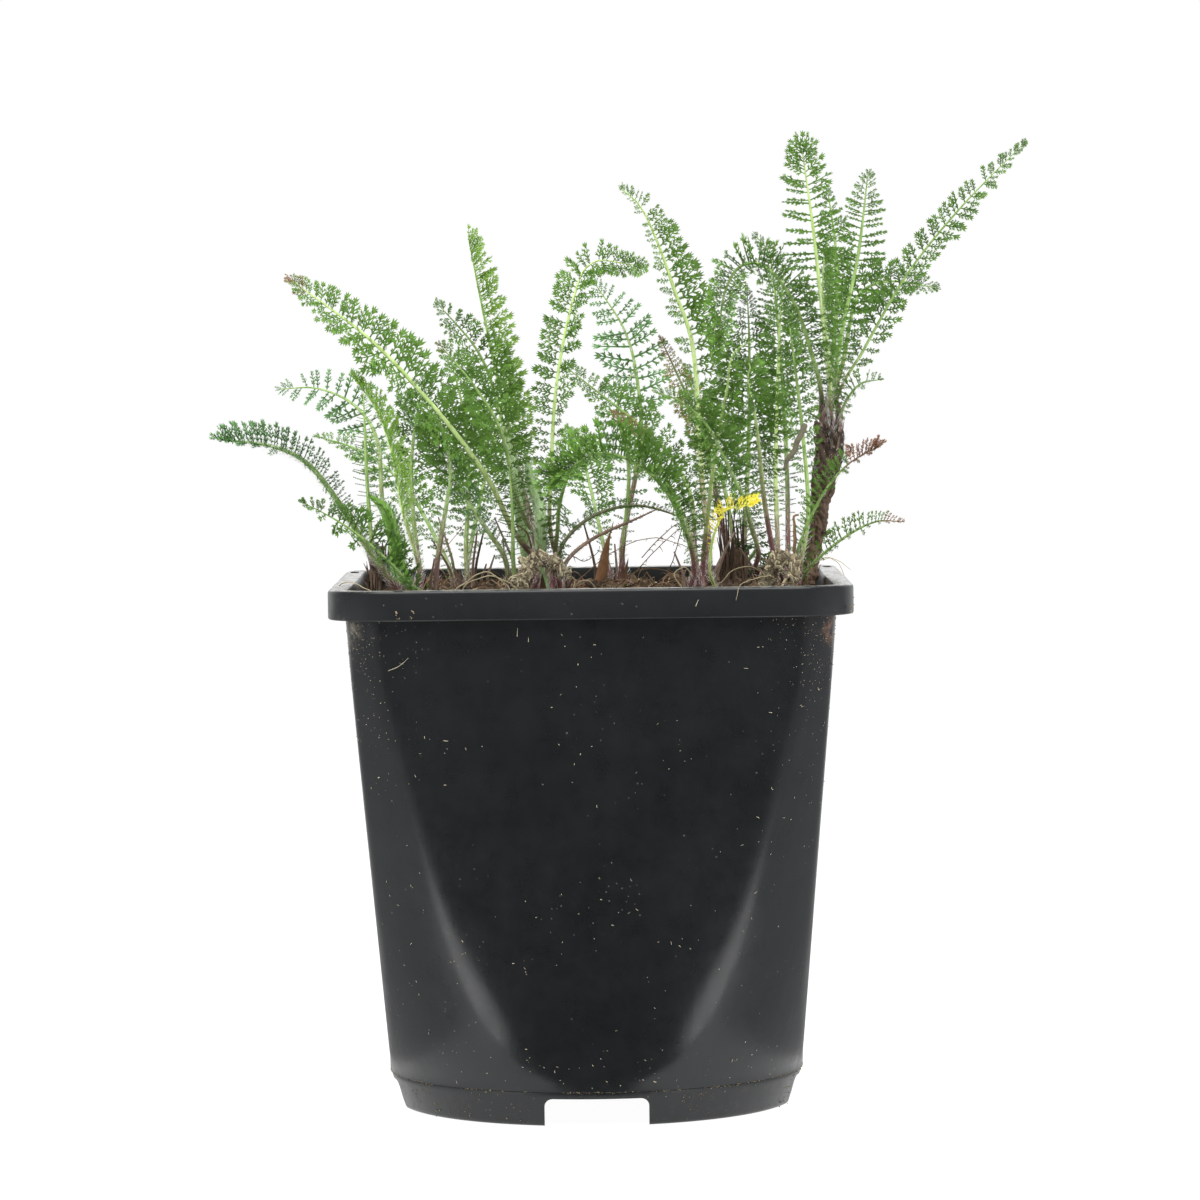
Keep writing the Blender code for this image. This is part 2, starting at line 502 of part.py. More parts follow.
class Frond:
    """A frond's stations and leaflets, before and after what would cross a neighbour is drawn in."""

    def __init__(self, name, line, spec):
        _, _, width, facing, pairs, bare = spec
        self.name, self.pairs = name, pairs
        self.line = line
        along, side, face = rib_frames(line, facing)
        length = np.linalg.norm(np.diff(line, axis=0), axis=1).sum()
        bare = max(bare, LEAST_PETIOLE / length)
        petiole = max(3, round(length * bare / 11))
        shares = [bare * i / petiole for i in range(petiole)]
        shares += [bare + (1 - bare) * (i / pairs) for i in range(pairs + 1)]
        self.petiole = petiole
        self.shares = np.array(shares)
        self.points = at(line, self.shares)
        self.along, self.side, self.face = (at(v, self.shares) for v in (along, side, face))
        taper = self.shares**1.1
        self.half = PETIOLE_HALF + (RIB_TIP_HALF - PETIOLE_HALF) * taper
        self.thick = PETIOLE_HALF_THICK + (RIB_TIP_HALF_THICK - PETIOLE_HALF_THICK) * taper
        self.leaflets = {}
        rng = random.Random(name)
        for pair in range(pairs):
            i = petiole + pair
            u = (pair + 0.5) / pairs
            reach = width / 2 * leaflet_profile(u) * rng.uniform(0.9, 1.06)
            lift = math.radians(LIFTS[pair % 3] + rng.uniform(-6, 6))
            for sign in (-1, 1):
                self.leaflets[(i, sign)] = (reach, lift, 0.42 + 0.25 * u)

    def edge(self, i, sign):
        return self.points[i] + self.side[i] * sign * self.half[i]

    def tip(self, key, keep=1.0):
        i, sign = key
        reach, lift, sweep = self.leaflets[key]
        reach = reach * keep
        middle = (self.edge(i, sign) + self.edge(i + 1, sign)) / 2
        way = self.side[i] * sign * math.cos(lift) + self.face[i] * math.sin(lift) + self.along[i] * sweep
        return middle + way * reach

    def mesh(self, keeps):
        points, faces = [], []
        for i in range(len(self.points)):
            out, up = self.side[i] * self.half[i], self.face[i] * self.thick[i]
            p = self.points[i]
            points += [p - out + up, p + out + up, p + out - up, p - out - up]
        last = len(self.points) - 1
        for i in range(last):
            a, b = 4 * i, 4 * (i + 1)
            bladed = i >= self.petiole
            walls = ((0, 1), (2, 3)) if bladed else ((0, 1), (1, 2), (2, 3), (3, 0))
            for m, n in walls:
                if m == 2:
                    faces += [(a + m, a + n, b + m), (a + n, b + n, b + m)]
                else:
                    faces += [(a + m, b + n, a + n), (a + m, b + m, b + n)]
            if not bladed:
                continue
            for sign, front, back in ((-1, 0, 3), (1, 1, 2)):
                tip = self.tip((i, sign), keeps[(i, sign)])
                up = self.face[i] * LEAFLET_HALF_THICK
                t = len(points)
                points += [tip + up, tip - up]
                faces += [(a + front, b + front, t), (a + back, b + back, t + 1)]
                faces += [(a + front, t, t + 1), (a + front, t + 1, a + back)]
                faces += [(b + front, t, t + 1), (b + front, t + 1, b + back)]
        end = self.points[last] + self.along[last] * 1.6
        t = len(points)
        points.append(end)
        b = 4 * last
        faces += [(b, b + 1, t), (b + 1, b + 2, t), (b + 2, b + 3, t), (b + 3, b, t)]
        faces.append((3, 2, 1, 0))
        return points, faces


def build_fronds(lines, materials, obstacles):
    """One object for each frond, with leaflets drawn in where they would cross another piece."""
    fronds = [Frond(name, lines[name], FRONDS[name]) for name in FRONDS]
    grid = Grid()
    for points, radii, owner in obstacles:
        for p, r in zip(points, radii):
            grid.add(p, r, owner)
    for frond in fronds:
        dense = at(frond.line, np.linspace(0, 1, 160))
        halves = np.interp(np.linspace(0, 1, 160), frond.shares, frond.half)
        for p, half in zip(dense, halves):
            grid.add(p, half * 1.2, frond.name)
    for frond in fronds:
        keeps = {}
        for key in frond.leaflets:
            i, sign = key
            for keep in (1.0, 0.8, 0.62, 0.45, 0.3, 0.16, 0.08):
                samples = leaflet_samples(frond.edge(i, sign), frond.edge(i + 1, sign), frond.tip(key, keep))
                if not any(grid.near(p, LEAFLET_HALF_THICK, frond.name, 0.62) for p in samples):
                    break
            keeps[key] = keep
            for p in samples:
                grid.add(p, LEAFLET_HALF_THICK, frond.name)
        points, faces = frond.mesh(keeps)
        make_object(frond.name, points, faces, materials[leaf_finish(frond.name)], 60)


def leaf_finish(name):
    """Which leaf colour a frond has."""
    if name == "frond_c4":
        return "leaf_yellow"
    if name == "frond_b10":
        return "leaf_dry"
    bright = ("frond_a1", "frond_b1", "frond_b7", "frond_b8", "frond_c2", "frond_f1", "frond_f8")
    return "leaf_bright" if name in bright else "leaf_green"


# Stems, stumps and curls

def tube(path, radii, sides, stations, flatten=1.0):
    """A closed tube of varying radius along a smooth path."""
    line = smooth_path(path, stations)
    steps = np.linspace(0, len(radii) - 1, stations)
    wide = np.interp(steps, np.arange(len(radii)), radii)
    along, side, face = rib_frames(line, (0.13, -1, 0.21))
    points, faces = [], []
    for i in range(stations):
        for k in range(sides):
            angle = 2 * math.pi * k / sides
            out = side[i] * math.cos(angle) + face[i] * math.sin(angle) * flatten
            points.append(line[i] + out * wide[i])
    for i in range(stations - 1):
        for k in range(sides):
            a, b = i * sides + k, i * sides + (k + 1) % sides
            faces += [(a, b, b + sides), (a, b + sides, a + sides)]
    faces.append(tuple(reversed(range(sides))))
    faces.append(tuple(range((stations - 1) * sides, stations * sides)))
    return points, faces


def build_small_pieces(materials):
    make_object("woody_shoot", *tube(SHOOT_PATH, SHOOT_RADII, 9, 11), materials["bark"], 50)
    finishes = {"curled_leaf": "fur", "curled_bud": "fur", "dead_leaf": "leaf_dry", "old_stump": "bark",
                "crown_b": "crown"}
    for name, (path, radii) in CURLS.items():
        flatten = 0.4 if name == "dead_leaf" else 1.0
        shape = tube(path, radii, TUBE_SIDES[name], 3 * len(path) - 2, flatten)
        make_object(name, *shape, materials[finishes[name]], 50)


def obstacle_lines():
    """Dense points along every stem, stump and curl, with their radii."""
    found = []
    for name, (path, radii) in {"woody_shoot": (SHOOT_PATH, SHOOT_RADII), **CURLS}.items():
        line = smooth_path(path, 40)
        wide = np.interp(np.linspace(0, len(radii) - 1, 40), np.arange(len(radii)), radii)
        found.append((line, wide, name))
    return found


# Potting mix

def soil_height(x, y):
    wave = math.sin(0.21 * x + 0.6) * math.cos(0.17 * y - 0.4) + 0.6 * math.sin(0.43 * x - 0.31 * y + 1.1)
    return SOIL_TOP + SOIL_BUMP * wave


def build_soil(material, slots):
    inner = WALL + CLEARANCE
    rings = [(body_radius(FLOOR_TOP) - inner, FLOOR_TOP + CLEARANCE)]
    rings += [(body_radius(z) - inner, z) for z in reversed(INNER_LEVELS)]
    edge = body_radius(SOIL_EDGE) - inner
    for share in (0.8, 0.5, 0.2):
        radii = edge * share
        heights = np.array([soil_height(r * math.cos(a), r * math.sin(a)) for r, a in zip(radii, ANGLES)])
        rings.append((radii, heights))
    soil = make_object("potting_mix", *lofted(rings, soil_height(0, 0)), material)
    floor = SOIL_TOP - HOLE_DEPTH
    holes = [prism(x, y, floor, 150, HOLE_RADIUS, 6) for name, (x, y) in slots.items() if FRONDS[name][0] != "f"]
    wide = max(SHOOT_RADII) + CLEARANCE + 0.25
    holes.append(prism(*SHOOT_PATH[0][:2], SHOOT_PATH[0][2] - 1, 150, wide, 10))
    for path, radii in CURLS.values():
        holes.append(prism(*path[0][:2], path[0][2] - 0.8, 150, max(radii[:2]) + CLEARANCE + 0.3, 8))
    cut(soil, "stem_hole_cutter", *merged(holes))
    return soil


def centre_on_box():
    """Moves every object so that the origin is the bottom centre of the bounding box of what is shown."""
    graph = bpy.context.evaluated_depsgraph_get()
    shown = [o for o in bpy.context.scene.objects if not o.hide_render]
    corners = []
    for obj in shown:
        mesh = obj.evaluated_get(graph).to_mesh()
        places = np.empty(len(mesh.vertices) * 3, np.float32)
        mesh.vertices.foreach_get("co", places)
        corners.append(places.reshape(-1, 3))
    corners = np.vstack(corners)
    middle = (corners.min(axis=0) + corners.max(axis=0)) / 2
    for obj in bpy.context.scene.objects:
        obj.location = (-middle[0], -middle[1], 0)


def main():
    clear_scene()
    materials = {
        "pot": make_material("pot", (0.018, 0.02, 0.023), 0.42),
        "soil": make_material("soil", (0.05, 0.032, 0.02), 0.95),
        "bark": make_material("bark", (0.09, 0.06, 0.04), 0.9),
        "crown": make_material("crown", (0.3, 0.12, 0.16), 0.6),
        "fur": make_material("fur", (0.42, 0.36, 0.27), 0.9),
        "leaf_green": make_material("leaf_green", (0.09, 0.22, 0.06), 0.6),
        "leaf_bright": make_material("leaf_bright", (0.17, 0.36, 0.08), 0.6),
        "leaf_yellow": make_material("leaf_yellow", (0.62, 0.55, 0.08), 0.6),
        "leaf_dry": make_material("leaf_dry", (0.26, 0.13, 0.06), 0.8),
    }
    slots = crown_slots()
    obstacles = obstacle_lines()
    fixed = (np.vstack([line for line, _, _ in obstacles]), np.concatenate([r + 0.4 for _, r, _ in obstacles]))
    lines = spread_apart(first_lines(slots), fixed)
    build_pot(materials["pot"])
    build_soil(materials["soil"], slots)
    build_small_pieces(materials)
    build_fronds(lines, materials, obstacles)
    centre_on_box()


main()
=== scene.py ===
"""A young yarrow plant in a black nursery pot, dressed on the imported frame.

Lengths are millimetres from the pot's axis at its foot, X right, Y away from the front, Z up, until add_mesh
turns them into the frame's metres.
"""

import json
import math
import random

import bmesh
import bpy
import numpy as np
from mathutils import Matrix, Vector, noise


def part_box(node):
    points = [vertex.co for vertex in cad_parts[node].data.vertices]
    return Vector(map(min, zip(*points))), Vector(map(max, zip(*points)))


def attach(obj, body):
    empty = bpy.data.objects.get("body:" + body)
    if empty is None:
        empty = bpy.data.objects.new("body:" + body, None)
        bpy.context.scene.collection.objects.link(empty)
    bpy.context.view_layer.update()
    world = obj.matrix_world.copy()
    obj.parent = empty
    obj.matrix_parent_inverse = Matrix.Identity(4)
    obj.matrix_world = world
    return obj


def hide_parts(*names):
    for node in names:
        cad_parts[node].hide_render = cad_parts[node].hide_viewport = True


MM = 0.001

# Pot, with the sizes of its solid. The foot flares 0.6 mm more here, and ROUND_RADIUS is the least radius of
# the body, at the seam.
POT_HEIGHT = 144.5
RIM_HALF = 70.0
RIM_CORNER = 18.0
RIM_SKIRT = 8.0
SKIRT_THICK = 1.6
FLANGE_THICK = 1.7
WALL = 1.6
PANEL_HALF_TOP = 65.6
PANEL_HALF_FOOT = 56.4
BODY_CORNER = 8.0
CONE_RADIUS_FOOT = 56.4
CONE_RADIUS_TOP = 91.0
CONE_CURVE = 0.82
SEAM_HEIGHT = 9.6
FOOT_RADIUS = 54.2
FOOT_FLARE = 2.6
ROUND_RADIUS = 56.95
FOOT_WIDTH = 2.2
FLOOR_UNDER = 7.9
FLOOR_TOP = 9.9
NOTCH_WIDTH = 28.0
NOTCH_HEIGHT = 7.6
DRAIN_RADIUS = 5.0
DRAIN_RING = 34.0
SLOT_LENGTH = 8.0
SLOT_WIDTH = 2.4
RIM_ROUNDING = 1.1
BODY_RINGS = 84
SOIL_EDGE = 136.5
SOIL_TOP = 138.0
HOLE_DEPTH = 8.0
SOIL_SPOKES = 300
SOIL_RINGS = 120

# Fronds
SLOT_SPACING = 4.1
LEAST_PETIOLE = 12.5
STATIONS = 44
CURVE_STEPS = 24
STILL_ROOM = 0.4
LEAFLET_VARIANTS = 8
TUBE_FACING = (0.13, -1, 0.21)

# How many loose and small things there are
DUST_FIBRES = 1500
FOOT_GRAINS = 2600
PEAT_CRUMBS = 2600
ROOTLETS = 420
STRAW_BITS = 120
MOSS_TUFTS = 46
STEM_SCRAPS = 120
STEM_FUR = 420
CURL_TWISTS = 330
STUMP_STUBS = 34
MOUND_STUBS = 150
DEAD_STUBS = 26

# The crown that each frond grows from, at the soil, as (x, y)
CROWNS = {
    "a": (-45, -38),
    "g": (-53, -8),
    "h": (-21, -29),
    "b": (-12, -12),
    "c": (30, -32),
    "d": (40, 18),
    "e": (53, -24),
    "k": (8, 36),
    "l": (-36, 30),
}

# Where the old stumps stand, of the right clump and of the left
STUMP_AT = (39.5, 3.5)
MOUND_AT = (-57.7, -7.3)

# The woody shoot carries its own crown of fronds above the soil.
SHOOT_PATH = ((57.5, 1.5, 129), (57.5, 1.5, 139), (61, 0.5, 153), (63.5, -1, 166), (66, -2, 178),
              (66.5, -2, 187))
SHOOT_RADII = (3.2, 3.4, 3.0, 2.9, 3.1, 2.7)
SHOOT_RING = 4.95
SHOOT_SHEATH = 9.0

# name, which starts with its crown's letter: points along the rib from just above the soil to the tip, widest
# width, facing, share of the length that is bare petiole
FRONDS = {
    "g1": (((-59.5, -6, 153), (-61, -4, 171), (-61.5, -2, 185), (-62, 2, 196)), 9, (0, -1, 0), 0.3),
    "g2": (((-57, 6, 163), (-58.7, 15, 182), (-65, 22, 192), (-75.5, 26, 197), (-86, 28, 197)), 17,
           (0, -1, 0.4), 0.4),
    "g3": (((-61, -12, 154), (-68, -18, 166), (-76, -24, 177), (-85, -28, 182), (-97, -30, 184)), 16,
           (0, -0.7, 0.7), 0.25),
    "a1": (((-46, -38, 149), (-50, -38, 164), (-52.6, -36, 179), (-56.6, -34, 191), (-62, -32, 199)), 16,
           (0.9, -0.4, 0.2), 0.3),
    "a2": (((-51.3, -43, 150), (-52.3, -44, 157), (-54.4, -46, 165), (-58.5, -48, 169)), 9,
           (0.8, -0.5, 0.3), 0.3),
    "a3": (((-48, -46, 145), (-53, -52, 151), (-59, -56, 157), (-67, -59, 163), (-76, -60, 168)), 15,
           (0, -0.8, 0.6), 0.2),
    "a4": (((-41, -35, 152), (-38.6, -31, 166), (-37.5, -27, 175), (-40, -24, 187), (-48, -22, 196)), 18,
           (0.2, -1, 0.2), 0.35),
    "a5": (((-46.5, -32, 152), (-48, -25, 166), (-48, -18, 181), (-45, -12, 200)), 15, (0, -1, 0.1), 0.35),
    "h1": (((-23, -28, 151), (-28, -26, 159), (-34, -22, 168), (-38, -17, 175), (-44, -11, 184),
           (-52, -6, 195)), 15, (0, -1, 0.2), 0.3),
    "h2": (((-20.8, -31, 150), (-20.8, -33, 163), (-21.5, -34, 176)), 11, (0, -1, 0), 0.15),
    "b1": (((-14.5, -14, 150), (-20, -20, 161), (-33, -28, 181), (-44, -30, 195), (-59, -30, 211),
           (-80, -26, 227)), 23, (0.3, -0.9, 0.4), 0.22),
    "b2": (((-11, -14, 151), (-10.4, -16, 174), (-8.6, -14, 198), (-3.8, -10, 221), (1.5, -8, 231),
           (13, -10, 230)), 17, (-0.5, -0.85, 0.1), 0.22),
    "b3": (((-14, 0, 153), (-19, 8, 172), (-24, 12, 194), (-28, 14, 213), (-32.5, 12, 237)), 14,
           (0.85, -0.5, 0.1), 0.35),
    "b4": (((-15, -5, 153), (-20.5, 0, 174), (-26, 4, 196), (-31, 4, 208), (-41, 2, 220)), 19, (0, -1, 0.2),
           0.35),
    "b5": (((-13.4, -16, 151), (-20, -22, 170), (-24, -26, 186), (-31, -26, 198), (-40, -24, 209)), 18,
           (0.1, -0.9, 0.4), 0.3),
    "b6": (((-9.5, -18, 152), (-8, -26, 166), (-4, -34, 176), (4, -38, 184)), 15, (0, -0.7, 0.7), 0.3),
    "b7": (((-13.6, -18, 151), (-15.6, -20, 166), (-17, -22, 179)), 6, (0.3, -1, 0), 0.2),
    "b8": (((-17, -13, 151), (-20, -15, 168), (-21, -16, 181)), 6, (0.5, -1, 0), 0.3),
    "b9": (((-8.5, -9, 152), (0, -4, 161), (13, 2, 164), (27, 6, 160)), 8, (0, -0.7, 0.7), 0.15),
    "b10": (((-6.6, -2, 149), (1, 6, 155), (13, 14, 160), (20, 18, 163)), 5, (0, -0.7, 0.7), 0.2),
    "c1": (((30, -34, 147), (31.6, -40, 162), (33.6, -46, 178), (36.5, -52, 194), (40, -58, 205),
           (44, -62, 209)), 18, (0, -0.9, 0.5), 0.3),
    "c2": (((31, -26, 149), (30.4, -10, 177), (28.9, 0, 207), (24, 2, 223), (20, 2, 235), (15, 0, 246),
           (9.6, -4, 251)), 21, (0.3, -0.95, 0.1), 0.3),
    "c3": (((28, -37, 150), (22.5, -46, 166), (14, -54, 176), (2.4, -58, 180), (-8, -60, 174)), 17,
           (0, -0.7, 0.7), 0.3),
    "c4": (((32, -42, 148), (33, -46, 157), (36.5, -50, 164), (43, -54, 166)), 8, (0, -0.6, 0.8), 0.2),
    "c5": (((29.5, -26, 150), (28, -12, 166), (22, -4, 178), (13, 0, 187), (3, 4, 195), (-7, 6, 203)), 16,
           (0, -0.8, 0.6), 0.3),
    "c6": (((28.5, -30, 149), (25.7, -27, 161), (20, -23, 173), (13.5, -20, 183), (7, -18, 190)), 13,
           (0, -0.8, 0.6), 0.3),
    "d1": (((42.8, 20, 152), (44.5, 24, 179), (45, 24, 207), (44.5, 20, 222)), 20, (0, -1, 0), 0.25),
    "d2": (((40, 22, 152), (37, 28, 171), (31.6, 32, 188), (27.5, 34, 200)), 17, (0, -1, 0.2), 0.3),
    "d3": (((43, 12, 146), (44.7, 7, 152), (44, 3, 159)), 15, (0, -1, 0.2), 0.2),
    "d4": (((37.6, 15, 153), (31, 12, 184), (25, 10, 199), (20, 8, 210)), 14, (0, -1, 0.1), 0.45),
    "e1": (((50, -28, 147), (47, -36, 166), (45, -42, 186), (42.5, -50, 198), (41, -59, 204)), 20,
           (0, -0.7, 0.7), 0.45),
    "e2": (((51, -17, 150), (51, -6, 172), (52, 2, 193), (53, 6, 213), (54.5, 8, 228)), 17, (0, -1, 0),
           0.25),
    "e3": (((57, -18, 147), (59.6, -13, 162), (58.6, -9, 182), (56.8, -7, 200), (55, -4, 216)), 15,
           (0, -1, 0), 0.2),
    "e4": (((54, -10, 150), (54.5, 8, 178), (53, 18, 212), (51, 22, 232), (47, 22, 238)), 16, (0, -1, 0.1),
           0.3),
    "e5": (((56, -28, 152), (62, -32, 166), (69, -34, 175), (77, -36, 180)), 9, (-0.4, -0.6, 0.6), 0.15),
    "e6": (((58, -27, 146), (61.5, -29, 150), (69, -31, 156), (77, -33, 160), (84, -34, 160)), 9,
           (0, -0.6, 0.8), 0.15),
    "e7": (((47, -34, 147), (44, -44, 157), (39.5, -52, 170), (32, -57, 186), (25, -60, 193),
           (18, -60, 196)), 18, (0, -0.85, 0.5), 0.35),
    "f1": (((66, -6, 194), (64.5, -9, 212), (62, -13, 237), (59, -15, 260)), 19, (0, -1, 0.1), 0.15),
    "f2": (((67.6, -4, 195), (70, -1, 212), (74.6, 2, 232), (77.5, 2, 254)), 20, (0, -1, 0), 0.2),
    "f3": (((69.6, -1, 194), (77.5, 2, 209), (89, 2, 228), (103, 0, 245), (120, -2, 262)), 13,
           (0.4, -0.6, 0.7), 0.15),
    "f4": (((66.6, 2, 195), (68.5, 6, 212), (69, 13, 233), (67, 15, 250)), 14, (0, -1, 0.1), 0.25),
    "f5": (((68, 3, 194), (72, 9, 212), (76, 16, 222), (85, 20, 225), (97, 22, 223)), 17, (0, -1, 0.3),
           0.25),
    "f6": (((64.4, -8, 195), (60.5, -17, 207), (55.5, -25, 220), (48, -32, 229), (41, -38, 229),
           (36.5, -42, 221), (35, -46, 208)), 18, (0, -0.9, 0.4), 0.15),
    "f7": (((70.5, -4, 187), (73.5, -6, 193), (77, -8, 197), (83, -10, 198)), 8, (0, -0.7, 0.7), 0.2),
    "f8": (((65.4, -7, 193), (65, -16, 209), (63.8, -22, 222), (64.2, -27, 232)), 12, (0.85, -0.4, 0.2),
           0.2),
    "k1": (((9, 40, 152), (14.5, 44, 180), (13.5, 47, 200), (10, 49, 213), (2.5, 50, 225)), 20,
           (0, -1, 0.1), 0.45),
    "k2": (((9, 33, 150), (11, 31, 173), (8, 33, 191), (13, 36, 201)), 16, (0, -1, 0.2), 0.3),
    "k3": (((4, 42, 150), (0, 58, 168), (-3, 72, 180), (-6, 84, 184)), 17, (0.3, -0.5, 1), 0.25),
    "l1": (((-35, 33, 152), (-34, 37, 171), (-35.5, 41, 190), (-39, 44, 205)), 18, (0, -1, 0), 0.25),
    "l2": (((-42, 38, 151), (-52, 50, 168), (-64, 60, 178), (-78, 66, 183)), 16, (-0.4, -0.4, 1), 0.2),
    "l3": (((-34, 38, 151), (-30, 52, 170), (-26, 66, 186), (-22, 74, 202)), 17, (0.2, -1, 0.6), 0.2),
}

# Other pieces of the plant, as (path, radius at each point)
CURLS = {
    "curled_leaf": (((-18.8, -35.5, 134), (-18.8, -35.5, 140), (-18.6, -35.5, 145), (-16.5, -35, 149.6),
                     (-12.6, -34, 151), (-9, -33, 149), (-7.2, -32, 146)),
                    (1.1, 1.2, 1.8, 2.4, 2.5, 2.2, 1.2)),
    "curled_bud": (((47.5, -34, 134), (47.5, -34, 140), (48, -34, 146), (50.2, -34.5, 150),
                    (53.2, -35, 150.6), (54.8, -35.4, 147.6), (53.4, -35.8, 145)),
                   (1.1, 1.2, 1.4, 1.6, 1.6, 1.5, 1.2)),
    "dead_leaf": (((2, 18, 134), (2, 18, 140), (3.2, 19, 145), (4.5, 20, 152), (6.5, 20.5, 159)),
                  (0.9, 1.0, 1.9, 1.7, 0.45)),
    "old_stump": (((39, 3, 131), (39, 3, 139), (41, 5, 151)), (3.4, 3.6, 2.6)),
    "crown_b": (((-12, -12, 131), (-12, -12, 140), (-10.8, -12.2, 148)), (2.6, 3.1, 1.6)),
}

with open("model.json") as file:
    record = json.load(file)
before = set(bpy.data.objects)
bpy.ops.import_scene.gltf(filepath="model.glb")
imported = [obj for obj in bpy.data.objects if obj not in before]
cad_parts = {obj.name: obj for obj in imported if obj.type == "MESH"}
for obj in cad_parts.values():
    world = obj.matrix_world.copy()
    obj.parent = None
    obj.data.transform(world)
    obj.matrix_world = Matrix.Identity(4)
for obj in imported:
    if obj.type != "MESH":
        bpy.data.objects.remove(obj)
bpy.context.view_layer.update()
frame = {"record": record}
POT_LOW, POT_HIGH = (Vector(corner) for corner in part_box("pot"))
AXIS = np.array(((POT_LOW.x + POT_HIGH.x) / 2, (POT_LOW.y + POT_HIGH.y) / 2, 0.0))


# Frond rib lines, as in the frame

def smooth_path(points, count):
    """Points evenly spaced by length along a Catmull-Rom curve."""
    p = np.array(points, float)
    p = np.vstack([2 * p[0] - p[1], p, 2 * p[-1] - p[-2]])
    dense = []
    for i in range(1, len(p) - 2):
        t = np.linspace(0, 1, CURVE_STEPS, endpoint=False)[:, None]
        a, b, c, d = p[i - 1], p[i], p[i + 1], p[i + 2]
        dense.append(0.5 * (2 * b + (c - a) * t + (2 * a - 5 * b + 4 * c - d) * t**2
                            + (3 * b - a - 3 * c + d) * t**3))
    dense = np.vstack([*dense, p[-2:-1]])
    length = np.concatenate([[0], np.cumsum(np.linalg.norm(np.diff(dense, axis=0), axis=1))])
    wanted = np.linspace(0, length[-1], count)
    return np.column_stack([np.interp(wanted, length, dense[:, k]) for k in range(3)])


def crown_slots():
    """Where each frond's petiole starts: places round its crown, in the order of the ways the fronds lean."""
    slots = {}
    for crown in (*CROWNS, "f"):
        members = [n for n in FRONDS if n[0] == crown]
        centre = SHOOT_PATH[-1][:2] if crown == "f" else CROWNS[crown]
        ring = SHOOT_RING if crown == "f" else SLOT_SPACING / 2 / math.sin(math.pi / len(members))
        second = {n: FRONDS[n][0][1] for n in members}
        lean = {n: math.atan2(p[1] - centre[1], p[0] - centre[0]) for n, p in second.items()}
        members.sort(key=lean.get)
        steps = [2 * math.pi * i / len(members) for i in range(len(members))]
        turn = math.atan2(sum(math.sin(lean[n] - s) for n, s in zip(members, steps)),
                          sum(math.cos(lean[n] - s) for n, s in zip(members, steps)))
        for name, step in zip(members, steps):
            angle = turn + step
            slots[name] = (centre[0] + ring * math.cos(angle), centre[1] + ring * math.sin(angle))
    return slots


def first_lines(slots):
    """Each rib from its hole straight up, then along its points."""
    lines = {}
    for name, (points, *_) in FRONDS.items():
        x, y = slots[name]
        foot = SHOOT_PATH[-1][2] - SHOOT_SHEATH if name[0] == "f" else SOIL_TOP - HOLE_DEPTH + 0.8
        mouth = foot + HOLE_DEPTH - 0.5
        lines[name] = smooth_path([(x, y, foot), (x, y, mouth), (x, y, mouth + 3.5), *points], STATIONS)
    return lines


def spread_apart(lines, fixed):
    """Bends crossing ribs clear of each other, mostly in depth. fixed holds points and radii that stay."""
    names = list(lines)
    p = np.vstack([lines[n] for n in names])
    frond = np.repeat(np.arange(len(names)), STATIONS)
    along = np.tile(np.arange(STATIONS), len(names))
    start = np.array([lines[n][0, 2] for n in names])[frond]
    height = np.clip((p[:, 2] - start - 10) / 22, 0, 1)
    height = np.maximum(height, np.clip((along - 14) / 12, 0, 1))
    movable = np.clip((p[:, 2] - start - 9) / 8, 0, 1)
    movable = np.maximum(movable, np.clip((along - 9) / 6, 0, 1))
    room = 1.35 + 1.15 * height
    still, still_room = fixed
    kernel = np.exp(-np.linspace(-2.2, 2.2, 11) ** 2)
    for turn in range(90):
        if turn % 10 == 0:
            distance = np.sqrt(((p[:, None, :] - p[None, :, :]) ** 2).sum(-1))
            first, second = np.nonzero((distance < 9) & (frond[:, None] != frond[None, :]))
            distance = np.sqrt(((p[:, None, :] - still[None, :, :]) ** 2).sum(-1))
            mover, post = np.nonzero(distance < 12)
        gap = p[first] - p[second]
        distance = np.sqrt((gap**2).sum(1))
        push = np.maximum(room[first] + room[second] - distance, 0) / np.maximum(distance, 0.3)
        level = np.abs(gap[:, 1]) < 0.05
        gap[level, 1] = np.sign(frond[first] - frond[second])[level] * 0.3
        shift = np.zeros_like(p)
        np.add.at(shift, first, gap * push[:, None] * np.array([0.25, 0.9, 0.1]))
        gap = p[mover] - still[post]
        distance = np.sqrt((gap**2).sum(1))
        push = np.maximum(room[mover] + still_room[post] - distance, 0) / np.maximum(distance, 0.3)
        np.add.at(shift, mover, gap * push[:, None] * np.array([0.6, 1.0, 0.1]))
        if np.abs(shift).max() < 0.01:
            break
        shift = np.clip(shift, -1.2, 1.2) * 0.5
        for index in range(len(names)):
            span = slice(index * STATIONS, (index + 1) * STATIONS)
            for axis in range(3):
                spread = np.convolve(shift[span, axis], kernel, mode="same") / kernel.sum() * 2.2
                p[span, axis] += spread * movable[span]
    return {n: p[i * STATIONS:(i + 1) * STATIONS] for i, n in enumerate(names)}


def rib_frames(line, facing):
    """Way along, side and face at each station."""
    along = np.gradient(line, axis=0)
    along /= np.linalg.norm(along, axis=1)[:, None]
    face = np.array(facing, float)[None, :] - along * (along @ np.array(facing, float))[:, None]
    face /= np.linalg.norm(face, axis=1)[:, None]
    side = np.cross(along, face)
    return along, side, face


def at(line_values, share):
    """A station table read at shares of its length."""
    places = np.asarray(share) * (len(line_values) - 1)
    index = np.arange(len(line_values))
    return np.column_stack([np.interp(places, index, line_values[:, k]) for k in range(3)])


